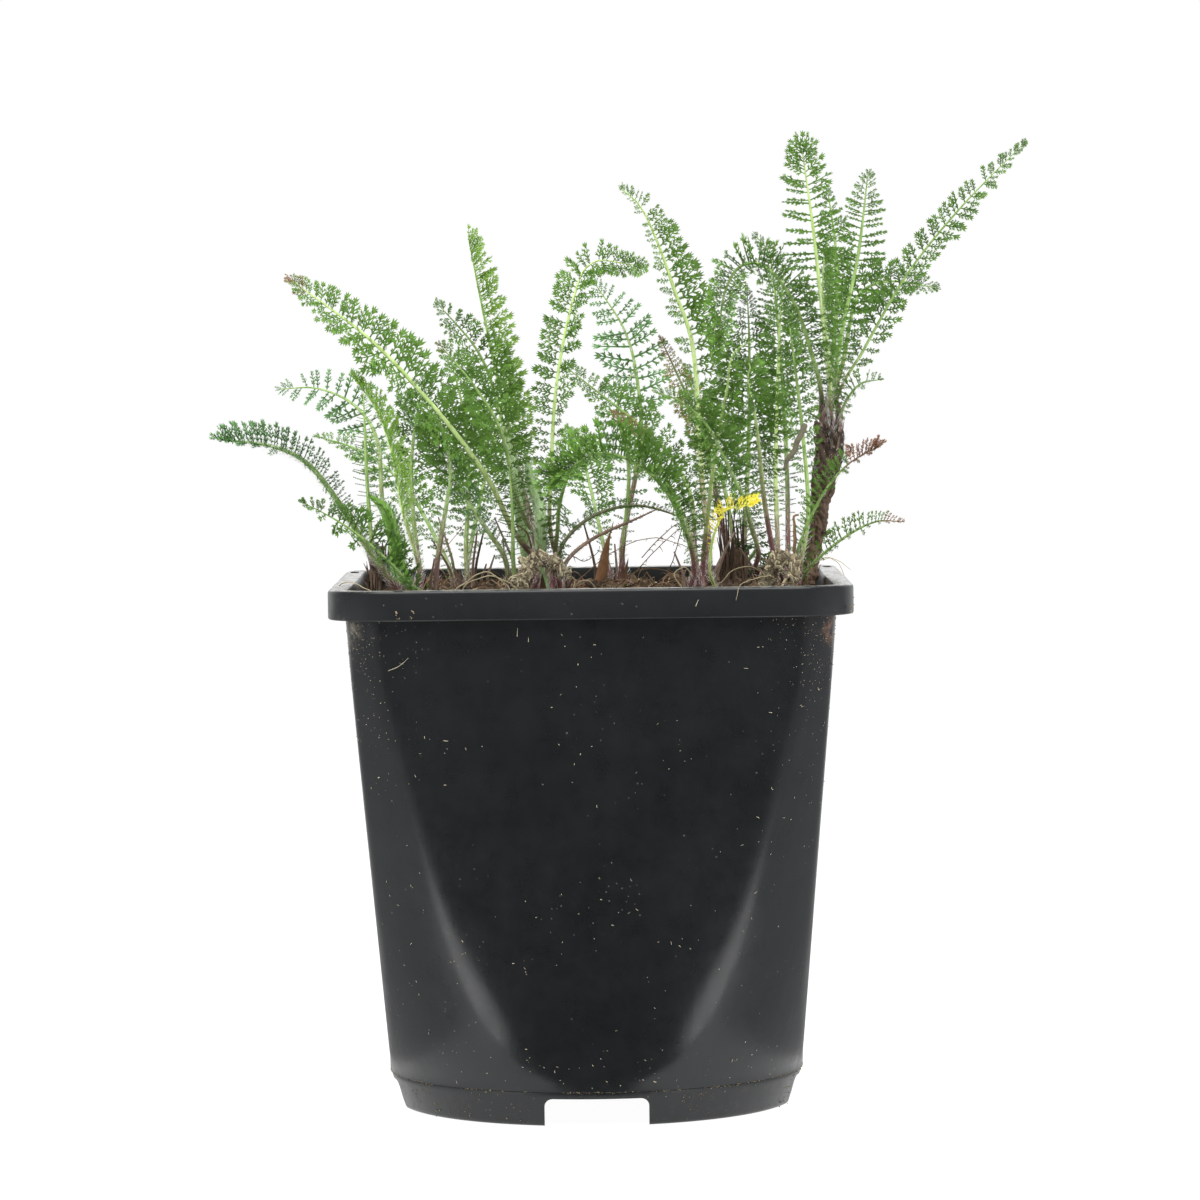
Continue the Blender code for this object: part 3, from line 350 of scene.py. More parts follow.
def leaflet_profile(u, low, late, taper):
    """Leaflet length along the blade, as a share of the longest, full from late to near the tip."""
    rise = max(low + (1 - low) * min(max(u, 0) / late, 1) ** 1.2, 0)
    return rise * (1 - taper * (max(u - 0.62, 0) / 0.38) ** 1.5)


def radii_along(radii, count):
    """The radii at a path's points, read at count places along it."""
    return np.interp(np.linspace(0, len(radii) - 1, count), range(len(radii)), radii)


def obstacles():
    """Dense points along every stem, stump and curl, with the room that each needs."""
    pieces = ((SHOOT_PATH, SHOOT_RADII), *CURLS.values())
    lines = [smooth_path(path, 40) for path, _ in pieces]
    return np.vstack(lines), np.concatenate([radii_along(radii, 40) + STILL_ROOM for _, radii in pieces])


# Meshes

def add_mesh(name, points, faces, materials, slot=None, replaces=(), index=None, smooth=True, marks=None):
    """A piece of the object from points in millimetres. marks are point values that its material reads."""
    points = np.asarray(points, float)
    mesh = bpy.data.meshes.new(name)
    mesh.from_pydata(points * MM + AXIS, [], [tuple(int(i) for i in face) for face in faces])
    for material in materials:
        mesh.materials.append(material)
    if index is not None:
        mesh.polygons.foreach_set("material_index", np.asarray(index, np.int32))
    mesh.polygons.foreach_set("use_smooth", np.full(len(mesh.polygons), smooth))
    for key, values in (marks or {}).items():
        attribute = mesh.attributes.new(key, "FLOAT", "POINT")
        attribute.data.foreach_set("value", np.asarray(values, np.float32))
    mesh.update()
    obj = bpy.data.objects.new(name, mesh)
    bpy.context.scene.collection.objects.link(obj)
    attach(obj, "root")
    if replaces:
        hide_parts(*replaces)
    return obj


class Heap:
    """Points and faces of many small shapes that end in one piece."""

    def __init__(self):
        self.points, self.faces, self.index, self.marks, self.count = [], [], [], {}, 0

    def add(self, points, faces, index=0, **marks):
        points = np.asarray(points, float)
        self.points.append(points)
        self.faces += [tuple(self.count + i for i in face) for face in faces]
        self.index += [index] * len(faces)
        for key, value in marks.items():
            self.marks.setdefault(key, []).append(np.broadcast_to(value, len(points)))
        self.count += len(points)

    def build(self, name, materials, **more):
        marks = {key: np.concatenate(values) for key, values in self.marks.items()}
        points = np.vstack(self.points)
        return add_mesh(name, points, self.faces, materials, index=self.index, marks=marks, **more)


def unit(v):
    return v / max(np.linalg.norm(v), 1e-9)


def tube(line, wide, sides, facing=TUBE_FACING, thick=None, bump=None, ends=True):
    """Points and faces of a tube. wide and thick are half sizes at each station; bump adds to the radius."""
    line = np.asarray(line, float)
    thick = wide if thick is None else thick
    _, side, face = rib_frames(line, facing)
    points, faces = [], []
    for i in range(len(line)):
        for k in range(sides):
            angle = 2 * math.pi * k / sides
            more = bump(i, angle, line[i]) if bump else 0
            points.append(line[i] + side[i] * math.cos(angle) * (wide[i] + more)
                          + face[i] * math.sin(angle) * (thick[i] + more))
    for i in range(len(line) - 1):
        for k in range(sides):
            a, b = i * sides + k, i * sides + (k + 1) % sides
            faces.append((a, b, b + sides, a + sides))
    if ends:
        faces.append(tuple(reversed(range(sides))))
        faces.append(tuple(range((len(line) - 1) * sides, len(line) * sides)))
    return np.array(points), faces


def strip(line, half, across):
    """A flat ribbon along line; half is its half width at each point, across the way it is wide."""
    line = np.asarray(line, float)
    across = np.asarray(across, float)
    points = np.vstack([line - across * half[:, None], line + across * half[:, None]])
    n = len(line)
    faces = [(i, i + 1, n + i + 1, n + i) for i in range(n - 1)]
    return points, faces


# Materials

def new_material(name, colour, roughness):
    material = bpy.data.materials.new(name)
    material.use_nodes = True
    shader = material.node_tree.nodes["Principled BSDF"]
    shader.inputs["Base Color"].default_value = (*colour, 1)
    shader.inputs["Roughness"].default_value = roughness
    return material, material.node_tree, shader


def node(tree, kind, **values):
    made = tree.nodes.new(kind)
    for key, value in values.items():
        if key in made.inputs.keys():
            made.inputs[key].default_value = value
        else:
            setattr(made, key, value)
    return made


def link(tree, source, target):
    tree.links.new(source, target)


def place(tree, scale=(1, 1, 1)):
    """Object coordinates, in metres times scale."""
    coordinates = tree.nodes.new("ShaderNodeTexCoord")
    mapping = tree.nodes.new("ShaderNodeMapping")
    mapping.inputs["Scale"].default_value = scale
    link(tree, coordinates.outputs["Object"], mapping.inputs["Vector"])
    return mapping.outputs["Vector"]


def noise_of(tree, vector, scale, detail=4.0, rough=0.55):
    made = node(tree, "ShaderNodeTexNoise", Scale=scale, Detail=detail, Roughness=rough)
    link(tree, vector, made.inputs["Vector"])
    return made.outputs["Fac"]


def ramp(tree, value, stops):
    """A colour ramp from (position, colour or grey) stops."""
    made = tree.nodes.new("ShaderNodeValToRGB")
    elements = made.color_ramp.elements
    while len(elements) < len(stops):
        elements.new(0.5)
    for element, (position, colour) in zip(elements, stops):
        element.position = position
        colour = colour if isinstance(colour, tuple) else (colour,) * 3
        element.color = (*colour, 1)
    link(tree, value, made.inputs["Fac"])
    return made.outputs["Color"]


def mix(tree, factor, first, second):
    made = tree.nodes.new("ShaderNodeMix")
    made.data_type = "RGBA"
    for socket, value in ((made.inputs[0], factor), (made.inputs[6], first), (made.inputs[7], second)):
        if isinstance(value, (int, float)):
            socket.default_value = value
        elif isinstance(value, tuple):
            socket.default_value = (*value, 1)
        else:
            link(tree, value, socket)
    return made.outputs[2]


def maths(tree, operation, first, second=0.0, clamp=False):
    made = tree.nodes.new("ShaderNodeMath")
    made.operation = operation
    made.use_clamp = clamp
    for socket, value in zip(made.inputs, (first, second)):
        if isinstance(value, (int, float)):
            socket.default_value = value
        else:
            link(tree, value, socket)
    return made.outputs[0]


def within(tree, value, low, high):
    """0 at low and beyond it, 1 at high and beyond it."""
    made = node(tree, "ShaderNodeMapRange")
    made.inputs["From Min"].default_value, made.inputs["From Max"].default_value = low, high
    link(tree, value, made.inputs["Value"])
    return made.outputs["Result"]


def mark(tree, name):
    made = tree.nodes.new("ShaderNodeAttribute")
    made.attribute_name = name
    return made.outputs["Fac"]


def bumped(tree, shader, height, strength, distance):
    made = node(tree, "ShaderNodeBump", Strength=strength, Distance=distance)
    link(tree, height, made.inputs["Height"])
    link(tree, made.outputs["Normal"], shader.inputs["Normal"])


# Dried mud at the front corners under the rim: place, colour
BLOTS = (((-63.8, -61, 134), (0.17, 0.15, 0.115)), ((63.6, -61, 133), (0.15, 0.075, 0.045)))


def pot_material():
    material, tree, shader = new_material("pot_plastic", (0.012, 0.0135, 0.0145), 0.36)
    shader.inputs["Specular IOR Level"].default_value = 0.5
    vector = place(tree)
    coordinates = tree.nodes.new("ShaderNodeTexCoord")
    parts = tree.nodes.new("ShaderNodeSeparateXYZ")
    link(tree, coordinates.outputs["Object"], parts.inputs[0])
    z = parts.outputs["Z"]
    cloud = noise_of(tree, vector, 45, 6, 0.65)
    grain = noise_of(tree, vector, 900, 3, 0.6)
    clouded = ramp(tree, cloud, ((0.35, 0.0), (0.75, 1.0)))
    base = mix(tree, clouded, (0.0055, 0.0066, 0.0075), (0.0100, 0.0115, 0.0125))
    film = ramp(tree, noise_of(tree, vector, 260, 8, 0.75), ((0.55, 0.0), (0.75, 1.0)))
    low = maths(tree, "MULTIPLY", within(tree, z, 0.0102, 0.0088), 0.6)
    foot_dust = maths(tree, "MULTIPLY", film, low)
    base = mix(tree, maths(tree, "MULTIPLY", foot_dust, 0.3), base, (0.13, 0.115, 0.085))
    blot = ramp(tree, noise_of(tree, vector, 420, 6, 0.7), ((0.46, 0.0), (0.62, 1.0)))
    for corner, colour in BLOTS:
        away = node(tree, "ShaderNodeVectorMath", operation="DISTANCE")
        link(tree, vector, away.inputs[0])
        away.inputs[1].default_value = tuple(np.array(corner) * MM + AXIS)
        close = within(tree, away.outputs["Value"], 0.0055, 0.001)
        base = mix(tree, maths(tree, "MULTIPLY", maths(tree, "MULTIPLY", close, blot), 0.75), base, colour)
    scuff = noise_of(tree, place(tree, (1, 0.25, 1)), 500, 6, 0.7)
    scuff = maths(tree, "MULTIPLY", ramp(tree, scuff, ((0.42, 0.0), (0.62, 1.0))),
                  maths(tree, "MULTIPLY", within(tree, z, 0.14415, 0.1444), 0.5))
    base = mix(tree, maths(tree, "MULTIPLY", scuff, 0.6), base, (0.34, 0.31, 0.26))
    dots = tree.nodes.new("ShaderNodeTexVoronoi")
    dots.inputs["Scale"].default_value = 420
    link(tree, vector, dots.inputs["Vector"])
    speck = ramp(tree, dots.outputs["Distance"], ((0.07, 1.0), (0.13, 0.0)))
    sparse = ramp(tree, noise_of(tree, vector, 60, 2, 0.5), ((0.52, 0.0), (0.66, 1.0)))
    speck = maths(tree, "MULTIPLY", speck, sparse)
    base = mix(tree, maths(tree, "MULTIPLY", speck, 0.45), base, (0.16, 0.145, 0.115))
    link(tree, base, shader.inputs["Base Color"])
    rough = ramp(tree, noise_of(tree, vector, 160, 6, 0.7), ((0.3, 0.25), (0.7, 0.37)))
    rough = mix(tree, maths(tree, "MAXIMUM", foot_dust, scuff), rough, (0.75, 0.75, 0.75))
    link(tree, rough, shader.inputs["Roughness"])
    streak = noise_of(tree, place(tree, (1, 1, 0.12)), 260, 3, 0.5)
    height = maths(tree, "ADD", maths(tree, "MULTIPLY", grain, 0.35), streak)
    bumped(tree, shader, height, 0.12, 0.0004)
    return material


def leaf_material(name, dark, light, tip=(0.25, 0.115, 0.065)):
    """Blade green with painted shade: dark in its folds, light on its teeth, and a rusty tip where marked."""
    material, tree, shader = new_material(name, tuple((a + b) / 2 for a, b in zip(dark, light)), 0.55)
    shader.inputs["Specular IOR Level"].default_value = 0.35
    shader.inputs["Subsurface Weight"].default_value = 0.12
    shader.inputs["Subsurface Radius"].default_value = (0.4, 0.8, 0.2)
    shader.inputs["Subsurface Scale"].default_value = 0.0008
    vector = place(tree)
    patch = noise_of(tree, vector, 110, 3, 0.6)
    fine = noise_of(tree, vector, 1400, 2, 0.5)
    # The marked tone carries painted shade, darker towards the rib and towards the frond's base.
    amount = maths(tree, "MULTIPLY", mark(tree, "tone"), 0.75)
    for value, weight in ((patch, 0.5), (fine, 0.22)):
        amount = maths(tree, "ADD", amount, maths(tree, "MULTIPLY", value, weight))
    colour = mix(tree, ramp(tree, amount, ((0.25, 0.0), (0.95, 1.0))), dark, light)
    colour = mix(tree, mark(tree, "rust"), colour, tip)
    link(tree, colour, shader.inputs["Base Color"])
    bumped(tree, shader, fine, 0.25, 0.0001)
    return material


def rib_material(name, green, pale, purple):
    material, tree, shader = new_material(name, green, 0.5)
    shader.inputs["Subsurface Weight"].default_value = 0.1
    shader.inputs["Subsurface Radius"].default_value = (0.6, 0.8, 0.3)
    shader.inputs["Subsurface Scale"].default_value = 0.001
    streaks = noise_of(tree, place(tree, (1, 1, 0.15)), 900, 4, 0.6)
    patch = noise_of(tree, place(tree), 220, 3, 0.6)
    colour = mix(tree, ramp(tree, streaks, ((0.35, 0.0), (0.65, 1.0))), green, pale)
    purpled = mark(tree, "purple")
    blotch = maths(tree, "MULTIPLY", maths(tree, "SUBTRACT", patch, 0.5), 0.9)
    blotch = ramp(tree, maths(tree, "ADD", purpled, blotch), ((0.2, 0.0), (0.75, 1.0)))
    share = maths(tree, "MULTIPLY", blotch, purpled)
    colour = mix(tree, maths(tree, "MULTIPLY", share, 1.2, True), colour, purple)
    colour = mix(tree, mark(tree, "rust"), colour, (0.17, 0.10, 0.06))
    link(tree, colour, shader.inputs["Base Color"])
    bumped(tree, shader, streaks, 0.5, 0.0002)
    return material


def plain_material(name, dark, light, roughness, scale, bump, distance=0.0004):
    """Two colours mixed by noise and by the tone marked on the points, with a matching bump."""
    material, tree, shader = new_material(name, tuple((a + b) / 2 for a, b in zip(dark, light)), roughness)
    value = noise_of(tree, place(tree), scale, 5, 0.65)
    toned = maths(tree, "MULTIPLY", mark(tree, "tone"), 0.8)
    amount = maths(tree, "ADD", toned, maths(tree, "SUBTRACT", value, 0.15))
    colour = mix(tree, ramp(tree, amount, ((0.25, 0.0), (0.95, 1.0))), dark, light)
    link(tree, colour, shader.inputs["Base Color"])
    rough = ramp(tree, value, ((0.3, max(roughness - 0.08, 0)), (0.7, min(roughness + 0.06, 1))))
    link(tree, rough, shader.inputs["Roughness"])
    bumped(tree, shader, value, bump, distance)
    return material


# Pot

def softer_least(a, b, soften):
    """The lesser of a and b, with the corner where they meet rounded."""
    near = np.maximum(soften - np.abs(a - b), 0) / soften
    return np.minimum(a, b) - near * near * soften / 4


def rounded_square(half, corner, c, s):
    flat = half / np.maximum(c, s)
    centre = half - corner
    inside = centre * (c + s)
    arc = inside + np.sqrt(np.maximum(corner**2 - 2 * centre**2 + inside**2, 0))
    return np.where(flat * np.minimum(c, s) <= centre, flat, arc)


def body_radius(z, angles):
    """The body's section: four panels that bend a little at their edges, cut by the cone."""
    c, s = np.abs(np.cos(angles)), np.abs(np.sin(angles))
    share = max((z - SEAM_HEIGHT) / (POT_HEIGHT - SEAM_HEIGHT), 0)
    half = PANEL_HALF_FOOT + (PANEL_HALF_TOP - PANEL_HALF_FOOT) * share
    across = np.minimum(half * np.minimum(c, s) / np.maximum(c, s), half - BODY_CORNER)
    bend = np.maximum(across - max(12.6 + 0.43 * (z - 25.8), 4), 0)
    panel = rounded_square(half, BODY_CORNER, c, s) - 0.0034 * bend**2
    cone = CONE_RADIUS_FOOT + (CONE_RADIUS_TOP - CONE_RADIUS_FOOT) * share**CONE_CURVE
    body = softer_least(panel, cone, 0.5 + 1.7 * (1 - share) * min(share * 6, 1))
    return -softer_least(-body, np.full(len(angles), -ROUND_RADIUS - 0.02 * (z - SEAM_HEIGHT)), 0.6)


def even_angles(count):
    return np.arange(count) * 2 * math.pi / count


def body_angles():
    """Ring angles, closest together where the panels meet the cone."""
    octant = np.concatenate([np.arange(0, 20, 2.5), np.arange(20, 44.9, 25 / 28)])
    quarter = np.concatenate([octant, [45], 90 - octant[:0:-1]])
    return np.radians(np.concatenate([quarter + 90 * turn for turn in range(4)]))


def ring_points(radii, z, angles):
    z = np.broadcast_to(z, angles.shape)
    return np.column_stack([radii * np.cos(angles), radii * np.sin(angles), z])


def ring_faces(rings, count):
    faces = []
    for band in range(rings - 1):
        low, high = band * count, (band + 1) * count
        for i in range(count):
            j = (i + 1) % count
            faces.append((low + i, low + j, high + j, high + i))
    faces.append(tuple(reversed(range(count))))
    faces.append(tuple(range((rings - 1) * count, rings * count)))
    return faces


def face_outward(mesh):
    shape = bmesh.new()
    shape.from_mesh(mesh)
    bmesh.ops.recalc_face_normals(shape, faces=shape.faces)
    shape.to_mesh(mesh)
    shape.free()


def cut(obj, name, points, faces):
    """Takes a closed cutter out of obj and applies it."""
    mesh = bpy.data.meshes.new(name)
    mesh.from_pydata(np.asarray(points, float) * MM + AXIS, [], faces)
    face_outward(mesh)
    cutter = bpy.data.objects.new(name, mesh)
    bpy.context.scene.collection.objects.link(cutter)
    modifier = obj.modifiers.new(name, "BOOLEAN")
    modifier.operation = "DIFFERENCE"
    modifier.object = cutter
    graph = bpy.context.evaluated_depsgraph_get()
    done = bpy.data.meshes.new_from_object(obj.evaluated_get(graph))
    obj.modifiers.remove(modifier)
    obj.data = done
    bpy.data.objects.remove(cutter)


def extruded(outline, axis, low, high):
    """A closed prism of a 2-D outline pushed along X, Y or Z."""
    count = len(outline)
    points = []
    for end in (low, high):
        for u, v in outline:
            points.append({"x": (end, u, v), "y": (u, end, v), "z": (u, v, end)}[axis])
    faces = [tuple(reversed(range(count))), tuple(range(count, 2 * count))]
    faces += [(i, (i + 1) % count, count + (i + 1) % count, count + i) for i in range(count)]
    return points, faces


def notch_outline():
    corner, half = 2.2, NOTCH_WIDTH / 2
    outline = [(-half, -5), (half, -5)]
    for sign, start in ((1, 0), (-1, 90)):
        for step in range(7):
            angle = math.radians(start + 15 * step)
            outline.append((sign * (half - corner) + corner * math.cos(angle),
                            NOTCH_HEIGHT - corner + corner * math.sin(angle)))
    return outline


def build_pot(material):
    angles = body_angles()
    c, s = np.abs(np.cos(angles)), np.abs(np.sin(angles))
    wobble = np.array([noise.noise(Vector((math.cos(a) * 1.6, math.sin(a) * 1.6, 3.3))) for a in angles])

    def circle(radius):
        return np.full(len(angles), radius)

    def square(half, corner):
        return rounded_square(half, corner, c, s)

    skirt_low, under = POT_HEIGHT - RIM_SKIRT, POT_HEIGHT - FLANGE_THICK
    skirt_corner = RIM_CORNER - SKIRT_THICK
    rings = [(circle(FOOT_RADIUS - FOOT_WIDTH), FLOOR_UNDER), (circle(FOOT_RADIUS - FOOT_WIDTH), 0.5)]
    rings += [(circle(FOOT_RADIUS - FOOT_WIDTH + 0.3), 0.05), (circle(FOOT_RADIUS - 1.0), 0.0)]
    rings += [(circle(FOOT_RADIUS + more), z) for more, z in ((-0.35, 0.2), (0.05, 0.7), (0.25, 1.4))]
    rings += [(circle(FOOT_RADIUS + FOOT_FLARE * t), SEAM_HEIGHT * t) for t in (0.35, 0.6, 0.8, 0.94)]
    rings.append((circle(FOOT_RADIUS + FOOT_FLARE - 0.2), SEAM_HEIGHT - 0.3))
    rings.append((body_radius(SEAM_HEIGHT, angles) + 0.08 * wobble, SEAM_HEIGHT - 0.05))
    for z in np.linspace(SEAM_HEIGHT + 0.6, under, BODY_RINGS):
        belly = 0.22 * wobble * math.sin(math.pi * (z - SEAM_HEIGHT) / (under - SEAM_HEIGHT))
        rings.append((body_radius(z, angles) + belly, z))
    rings += [(square(RIM_HALF - SKIRT_THICK, skirt_corner), z) for z in (under, skirt_low + 0.2)]
    rings += [(square(RIM_HALF - SKIRT_THICK + 0.3, skirt_corner + 0.3), skirt_low)]
    rings += [(square(RIM_HALF - 0.35, RIM_CORNER - 0.35), skirt_low)]
    rings += [(square(RIM_HALF, RIM_CORNER), z) for z in (skirt_low + 0.35, POT_HEIGHT - RIM_ROUNDING)]
    for angle in np.radians((22, 45, 68, 90)):
        back, down = RIM_ROUNDING * (1 - math.cos(angle)), RIM_ROUNDING * (1 - math.sin(angle))
        rings.append((square(RIM_HALF - back, RIM_CORNER - back), POT_HEIGHT - down))
    inner = body_radius(POT_HEIGHT, angles) - WALL
    rings += [(inner + 0.9, POT_HEIGHT), (inner + 0.35, POT_HEIGHT - 0.15), (inner, POT_HEIGHT - 0.8)]
    for z in (141, SOIL_EDGE, 120, 104, 80, 50, 25, FLOOR_TOP):
        rings.append((body_radius(z, angles) - WALL, z))
    points = np.vstack([ring_points(radii, z, angles) for radii, z in rings])
    pot = add_mesh("pot_shell", points, ring_faces(len(rings), len(angles)), [material], "pot", ("pot",))
    face_outward(pot.data)
    for axis in ("y", "x"):
        cut(pot, f"notch_{axis}", *extruded(notch_outline(), axis, -80, 80))
    places = [(0, 0)] + [(DRAIN_RING * math.cos(a), DRAIN_RING * math.sin(a)) for a in
                         np.radians((45, 135, 225, 315))]
    for index, (x, y) in enumerate(places):
        outline = [(x + DRAIN_RADIUS * math.cos(a), y + DRAIN_RADIUS * math.sin(a)) for a in even_angles(24)]
        cut(pot, f"drain_{index}", *extruded(outline, "z", 4, 14))
    for side in (-1, 1):
        x, y = side * (RIM_HALF - 3), RIM_HALF - RIM_CORNER - SLOT_LENGTH
        outline = []
        for end, start in ((y + SLOT_LENGTH - SLOT_WIDTH / 2, 0), (y + SLOT_WIDTH / 2, 180)):
            for step in range(7):
                angle = math.radians(start + 30 * step)
                outline.append((x + SLOT_WIDTH / 2 * math.cos(angle), end + SLOT_WIDTH / 2 * math.sin(angle)))
        cut(pot, f"tag_slot_{side}", *extruded(outline, "z", under - 2, POT_HEIGHT + 2))
    pot.data.set_sharp_from_angle(angle=math.radians(38))
    return pot


FIBRES = (
    # single pale fibres stuck to the front of the pot, as points (x, y, z)
    ((-53.7, -64.75, 123.3), (-51.3, -64.75, 124.2), (-49.5, -64.8, 125.5), (-48.4, -64.85, 126.6)),
    ((-19.5, -65.6, 132.0), (-19.4, -65.7, 134.2)),
    ((-16.6, -65.5, 130.5), (-16.5, -65.6, 131.8)),
    ((27.6, -70.15, 139.6), (28.4, -70.15, 141.4)),
)
STUCK = (
    # clumps of crumbs stuck to the pot, as (x, y, z, size)
    (-51.3, -70, 138.8, 0.62), (-47.2, -70, 139.1, 0.6), (-50.6, -70, 137.3, 0.35), (-47.4, -70, 137.4, 0.35),
    (-54.5, -69.9, 140.8, 0.25), (69.2, -60, 138.6, 0.5), (69.4, -57, 140.4, 0.45), (68.8, -61, 137.2, 0.4),
)


def build_flecks(dust, crust):
    """Dry peat dust: short pale fibres and grains stuck to the outside of the pot."""
    rng = random.Random(41)
    heap = Heap()
    for _ in range(DUST_FIBRES):
        angle = rng.uniform(0, 2 * math.pi)
        z = SEAM_HEIGHT + 1 + (POT_HEIGHT - RIM_SKIRT - SEAM_HEIGHT - 3) * rng.random() ** 1.2
        if noise.noise(Vector((angle * 2.2, z * 0.045, 4))) < rng.uniform(-0.25, 0.25):
            continue
        length = rng.choice((0.14, 0.2, 0.25, 0.35, 0.5, 0.8)) * rng.uniform(0.7, 1.3)
        turn, bend = rng.uniform(0, math.pi), rng.uniform(-0.5, 0.5)
        line = []
        for step in range(4):
            t = (step / 3 - 0.5) * length
            a = angle + (t * math.cos(turn + bend * step / 3)) / 60
            up = z + t * math.sin(turn + bend * step / 3)
            radius = body_radius(up, np.array([a]))[0] + 0.27
            line.append((radius * math.cos(a), radius * math.sin(a), up))
        line = np.array(line)
        normal = np.array((math.cos(angle), math.sin(angle), 0.1))
        across = unit(np.cross(unit(line[-1] - line[0]), normal))
        half = np.array((0.5, 1, 0.9, 0.3)) * rng.uniform(0.05, 0.1)
        heap.add(*strip(line, half, across), tone=rng.random())
    for _ in range(FOOT_GRAINS):
        angle = rng.uniform(0, 2 * math.pi)
        if rng.random() < 0.45:
            z = SEAM_HEIGHT - 0.2 + rng.gauss(0, 0.14)
        else:
            z = SEAM_HEIGHT * rng.random() ** 0.8
        radius = FOOT_RADIUS + 0.08 + FOOT_FLARE * min(max(z, 1.4) / SEAM_HEIGHT, 1)
        over_notch = z < NOTCH_HEIGHT + 0.3 and abs((math.degrees(angle) + 45) % 90 - 45) < 17
        if over_notch or noise.noise(Vector((angle * 5, z * 0.12, 0))) < rng.uniform(-0.2, 0.3):
            continue
        centre = np.array((radius * math.cos(angle), radius * math.sin(angle), max(z, 0.3)))
        heap.add(*crumb(rng, centre, rng.uniform(0.05, 0.2), rng.uniform(1, 2.2)), index=1, tone=rng.random())
    for corner in (-135, -45, 45, 135):
        for _ in range(260 if corner < 0 else 90):
            angle = math.radians(corner + rng.gauss(0, 4.5))
            z = POT_HEIGHT - RIM_SKIRT - abs(rng.gauss(0, 9 if rng.random() < 0.5 else 26))
            if z < 60:
                continue
            radius = body_radius(z, np.array([angle]))[0] + 0.12
            centre = np.array((radius * math.cos(angle), radius * math.sin(angle), z))
            grain = crumb(rng, centre, rng.uniform(0.05, 0.16), rng.uniform(1, 1.8))
            heap.add(*grain, tone=rng.random() * 0.8)
    for path in FIBRES:
        line = smooth_path(path, 12)
        heap.add(*tube(line, np.linspace(0.09, 0.05, 12), 4), tone=0.7)
    for x, y, z, size in STUCK:
        for _ in range(4):
            spot = np.array((x, y, z)) + (rng.gauss(0, size * 0.7), 0, rng.gauss(0, size * 0.4))
            grain = crumb(rng, spot, size * rng.uniform(0.3, 0.6), 1.3)
            heap.add(*grain, index=1, tone=rng.uniform(0.6, 1.1))
    heap.build("pot_dust", [dust, crust], slot="soil")


CRUMB_FACES = ((0, 2, 4), (2, 1, 4), (1, 3, 4), (3, 0, 4), (2, 0, 5), (1, 2, 5), (3, 1, 5), (0, 3, 5))
CRUMB_POINTS = np.array(((1, 0, 0), (-1, 0, 0), (0, 1, 0), (0, -1, 0), (0, 0, 1), (0, 0, -1)), float)


def crumb(rng, centre, size, stretch=1.0):
    """A rough eight-sided grain."""
    points = CRUMB_POINTS * np.array([[size * rng.uniform(0.6, 1.25)] for _ in range(6)])
    points[:, 0] *= stretch
    turn, tip = rng.uniform(0, 2 * math.pi), rng.uniform(-0.7, 0.7)
    c, s = math.cos(turn), math.sin(turn)
    x, y, z = points.T
    x, z = x * math.cos(tip) - z * math.sin(tip), x * math.sin(tip) + z * math.cos(tip)
    return np.column_stack([c * x - s * y, s * x + c * y, z]) + centre, CRUMB_FACES


# Potting mix

def soil_height(x, y):
    """Surface of the mix: heaped a little behind, rough, and lower at the wall."""
    reach = max(abs(x), abs(y)) / 64
    edge = max(0.0, 1 - max(reach - 0.86, 0) / 0.14)
    p = Vector((x, y, 0))
    rough = noise.noise(p * 0.07) * 1.3 + noise.noise(p * 0.21) * 1.1
    fine = abs(noise.noise(p * 0.55)) * 1.3 + noise.noise(p * 1.3) * 0.5
    heap = 1.3 + 1.4 * math.exp(-((y - 25) / 38) ** 2)
    return SOIL_TOP - 1.2 + (heap + rough + fine) * (0.35 + 0.65 * edge)


def build_soil(material):
    angles = even_angles(SOIL_SPOKES)
    inner = WALL + 0.25
    rings = [(body_radius(z, angles) - inner, z) for z in (FLOOR_TOP + 0.3, 50, 104, SOIL_EDGE - 1.5)]
    edge = body_radius(SOIL_EDGE, angles) - inner
    for share in np.linspace(0.998, 0.01, SOIL_RINGS):
        radii = edge * share
        heights = np.array([soil_height(r * math.cos(a), r * math.sin(a)) for r, a in zip(radii, angles)])
        rings.append((radii, heights))
    points = np.vstack([ring_points(radii, z, angles) for radii, z in rings])
    tone = np.array([0.5 + 0.5 * noise.noise(Vector(p) * 0.3) for p in points])
    faces = ring_faces(len(rings), len(angles))
    add_mesh("potting_mix_surface", points, faces, [material], "soil", ("potting_mix",), marks={"tone": tone})


def wander(rng, start, heading, length, steps, turn, rise):
    """A wandering line over the mix from start, that rises in its middle."""
    line, (x, y) = [], start
    swing = rng.uniform(-turn, turn)
    for step in range(steps):
        lift = 0.2 + rise * math.sin(math.pi * step / (steps - 1))
        line.append((x, y, soil_height(x, y) + lift + 0.2 * rng.random()))
        heading += swing / steps + rng.uniform(-turn, turn) / steps
        nx, ny = x + math.cos(heading) * length / steps, y + math.sin(heading) * length / steps
        if max(abs(nx), abs(ny)) > 62:
            heading += 2.2
            nx, ny = x + math.cos(heading) * length / steps, y + math.sin(heading) * length / steps
        x, y = nx, ny
    return np.array(line)


def inside_pot(rng, reach=61):
    while True:
        x, y = rng.uniform(-reach, reach), rng.uniform(-reach, reach)
        if max(abs(x), abs(y)) < reach and x * x + y * y < 78 * 78:
            return x, y


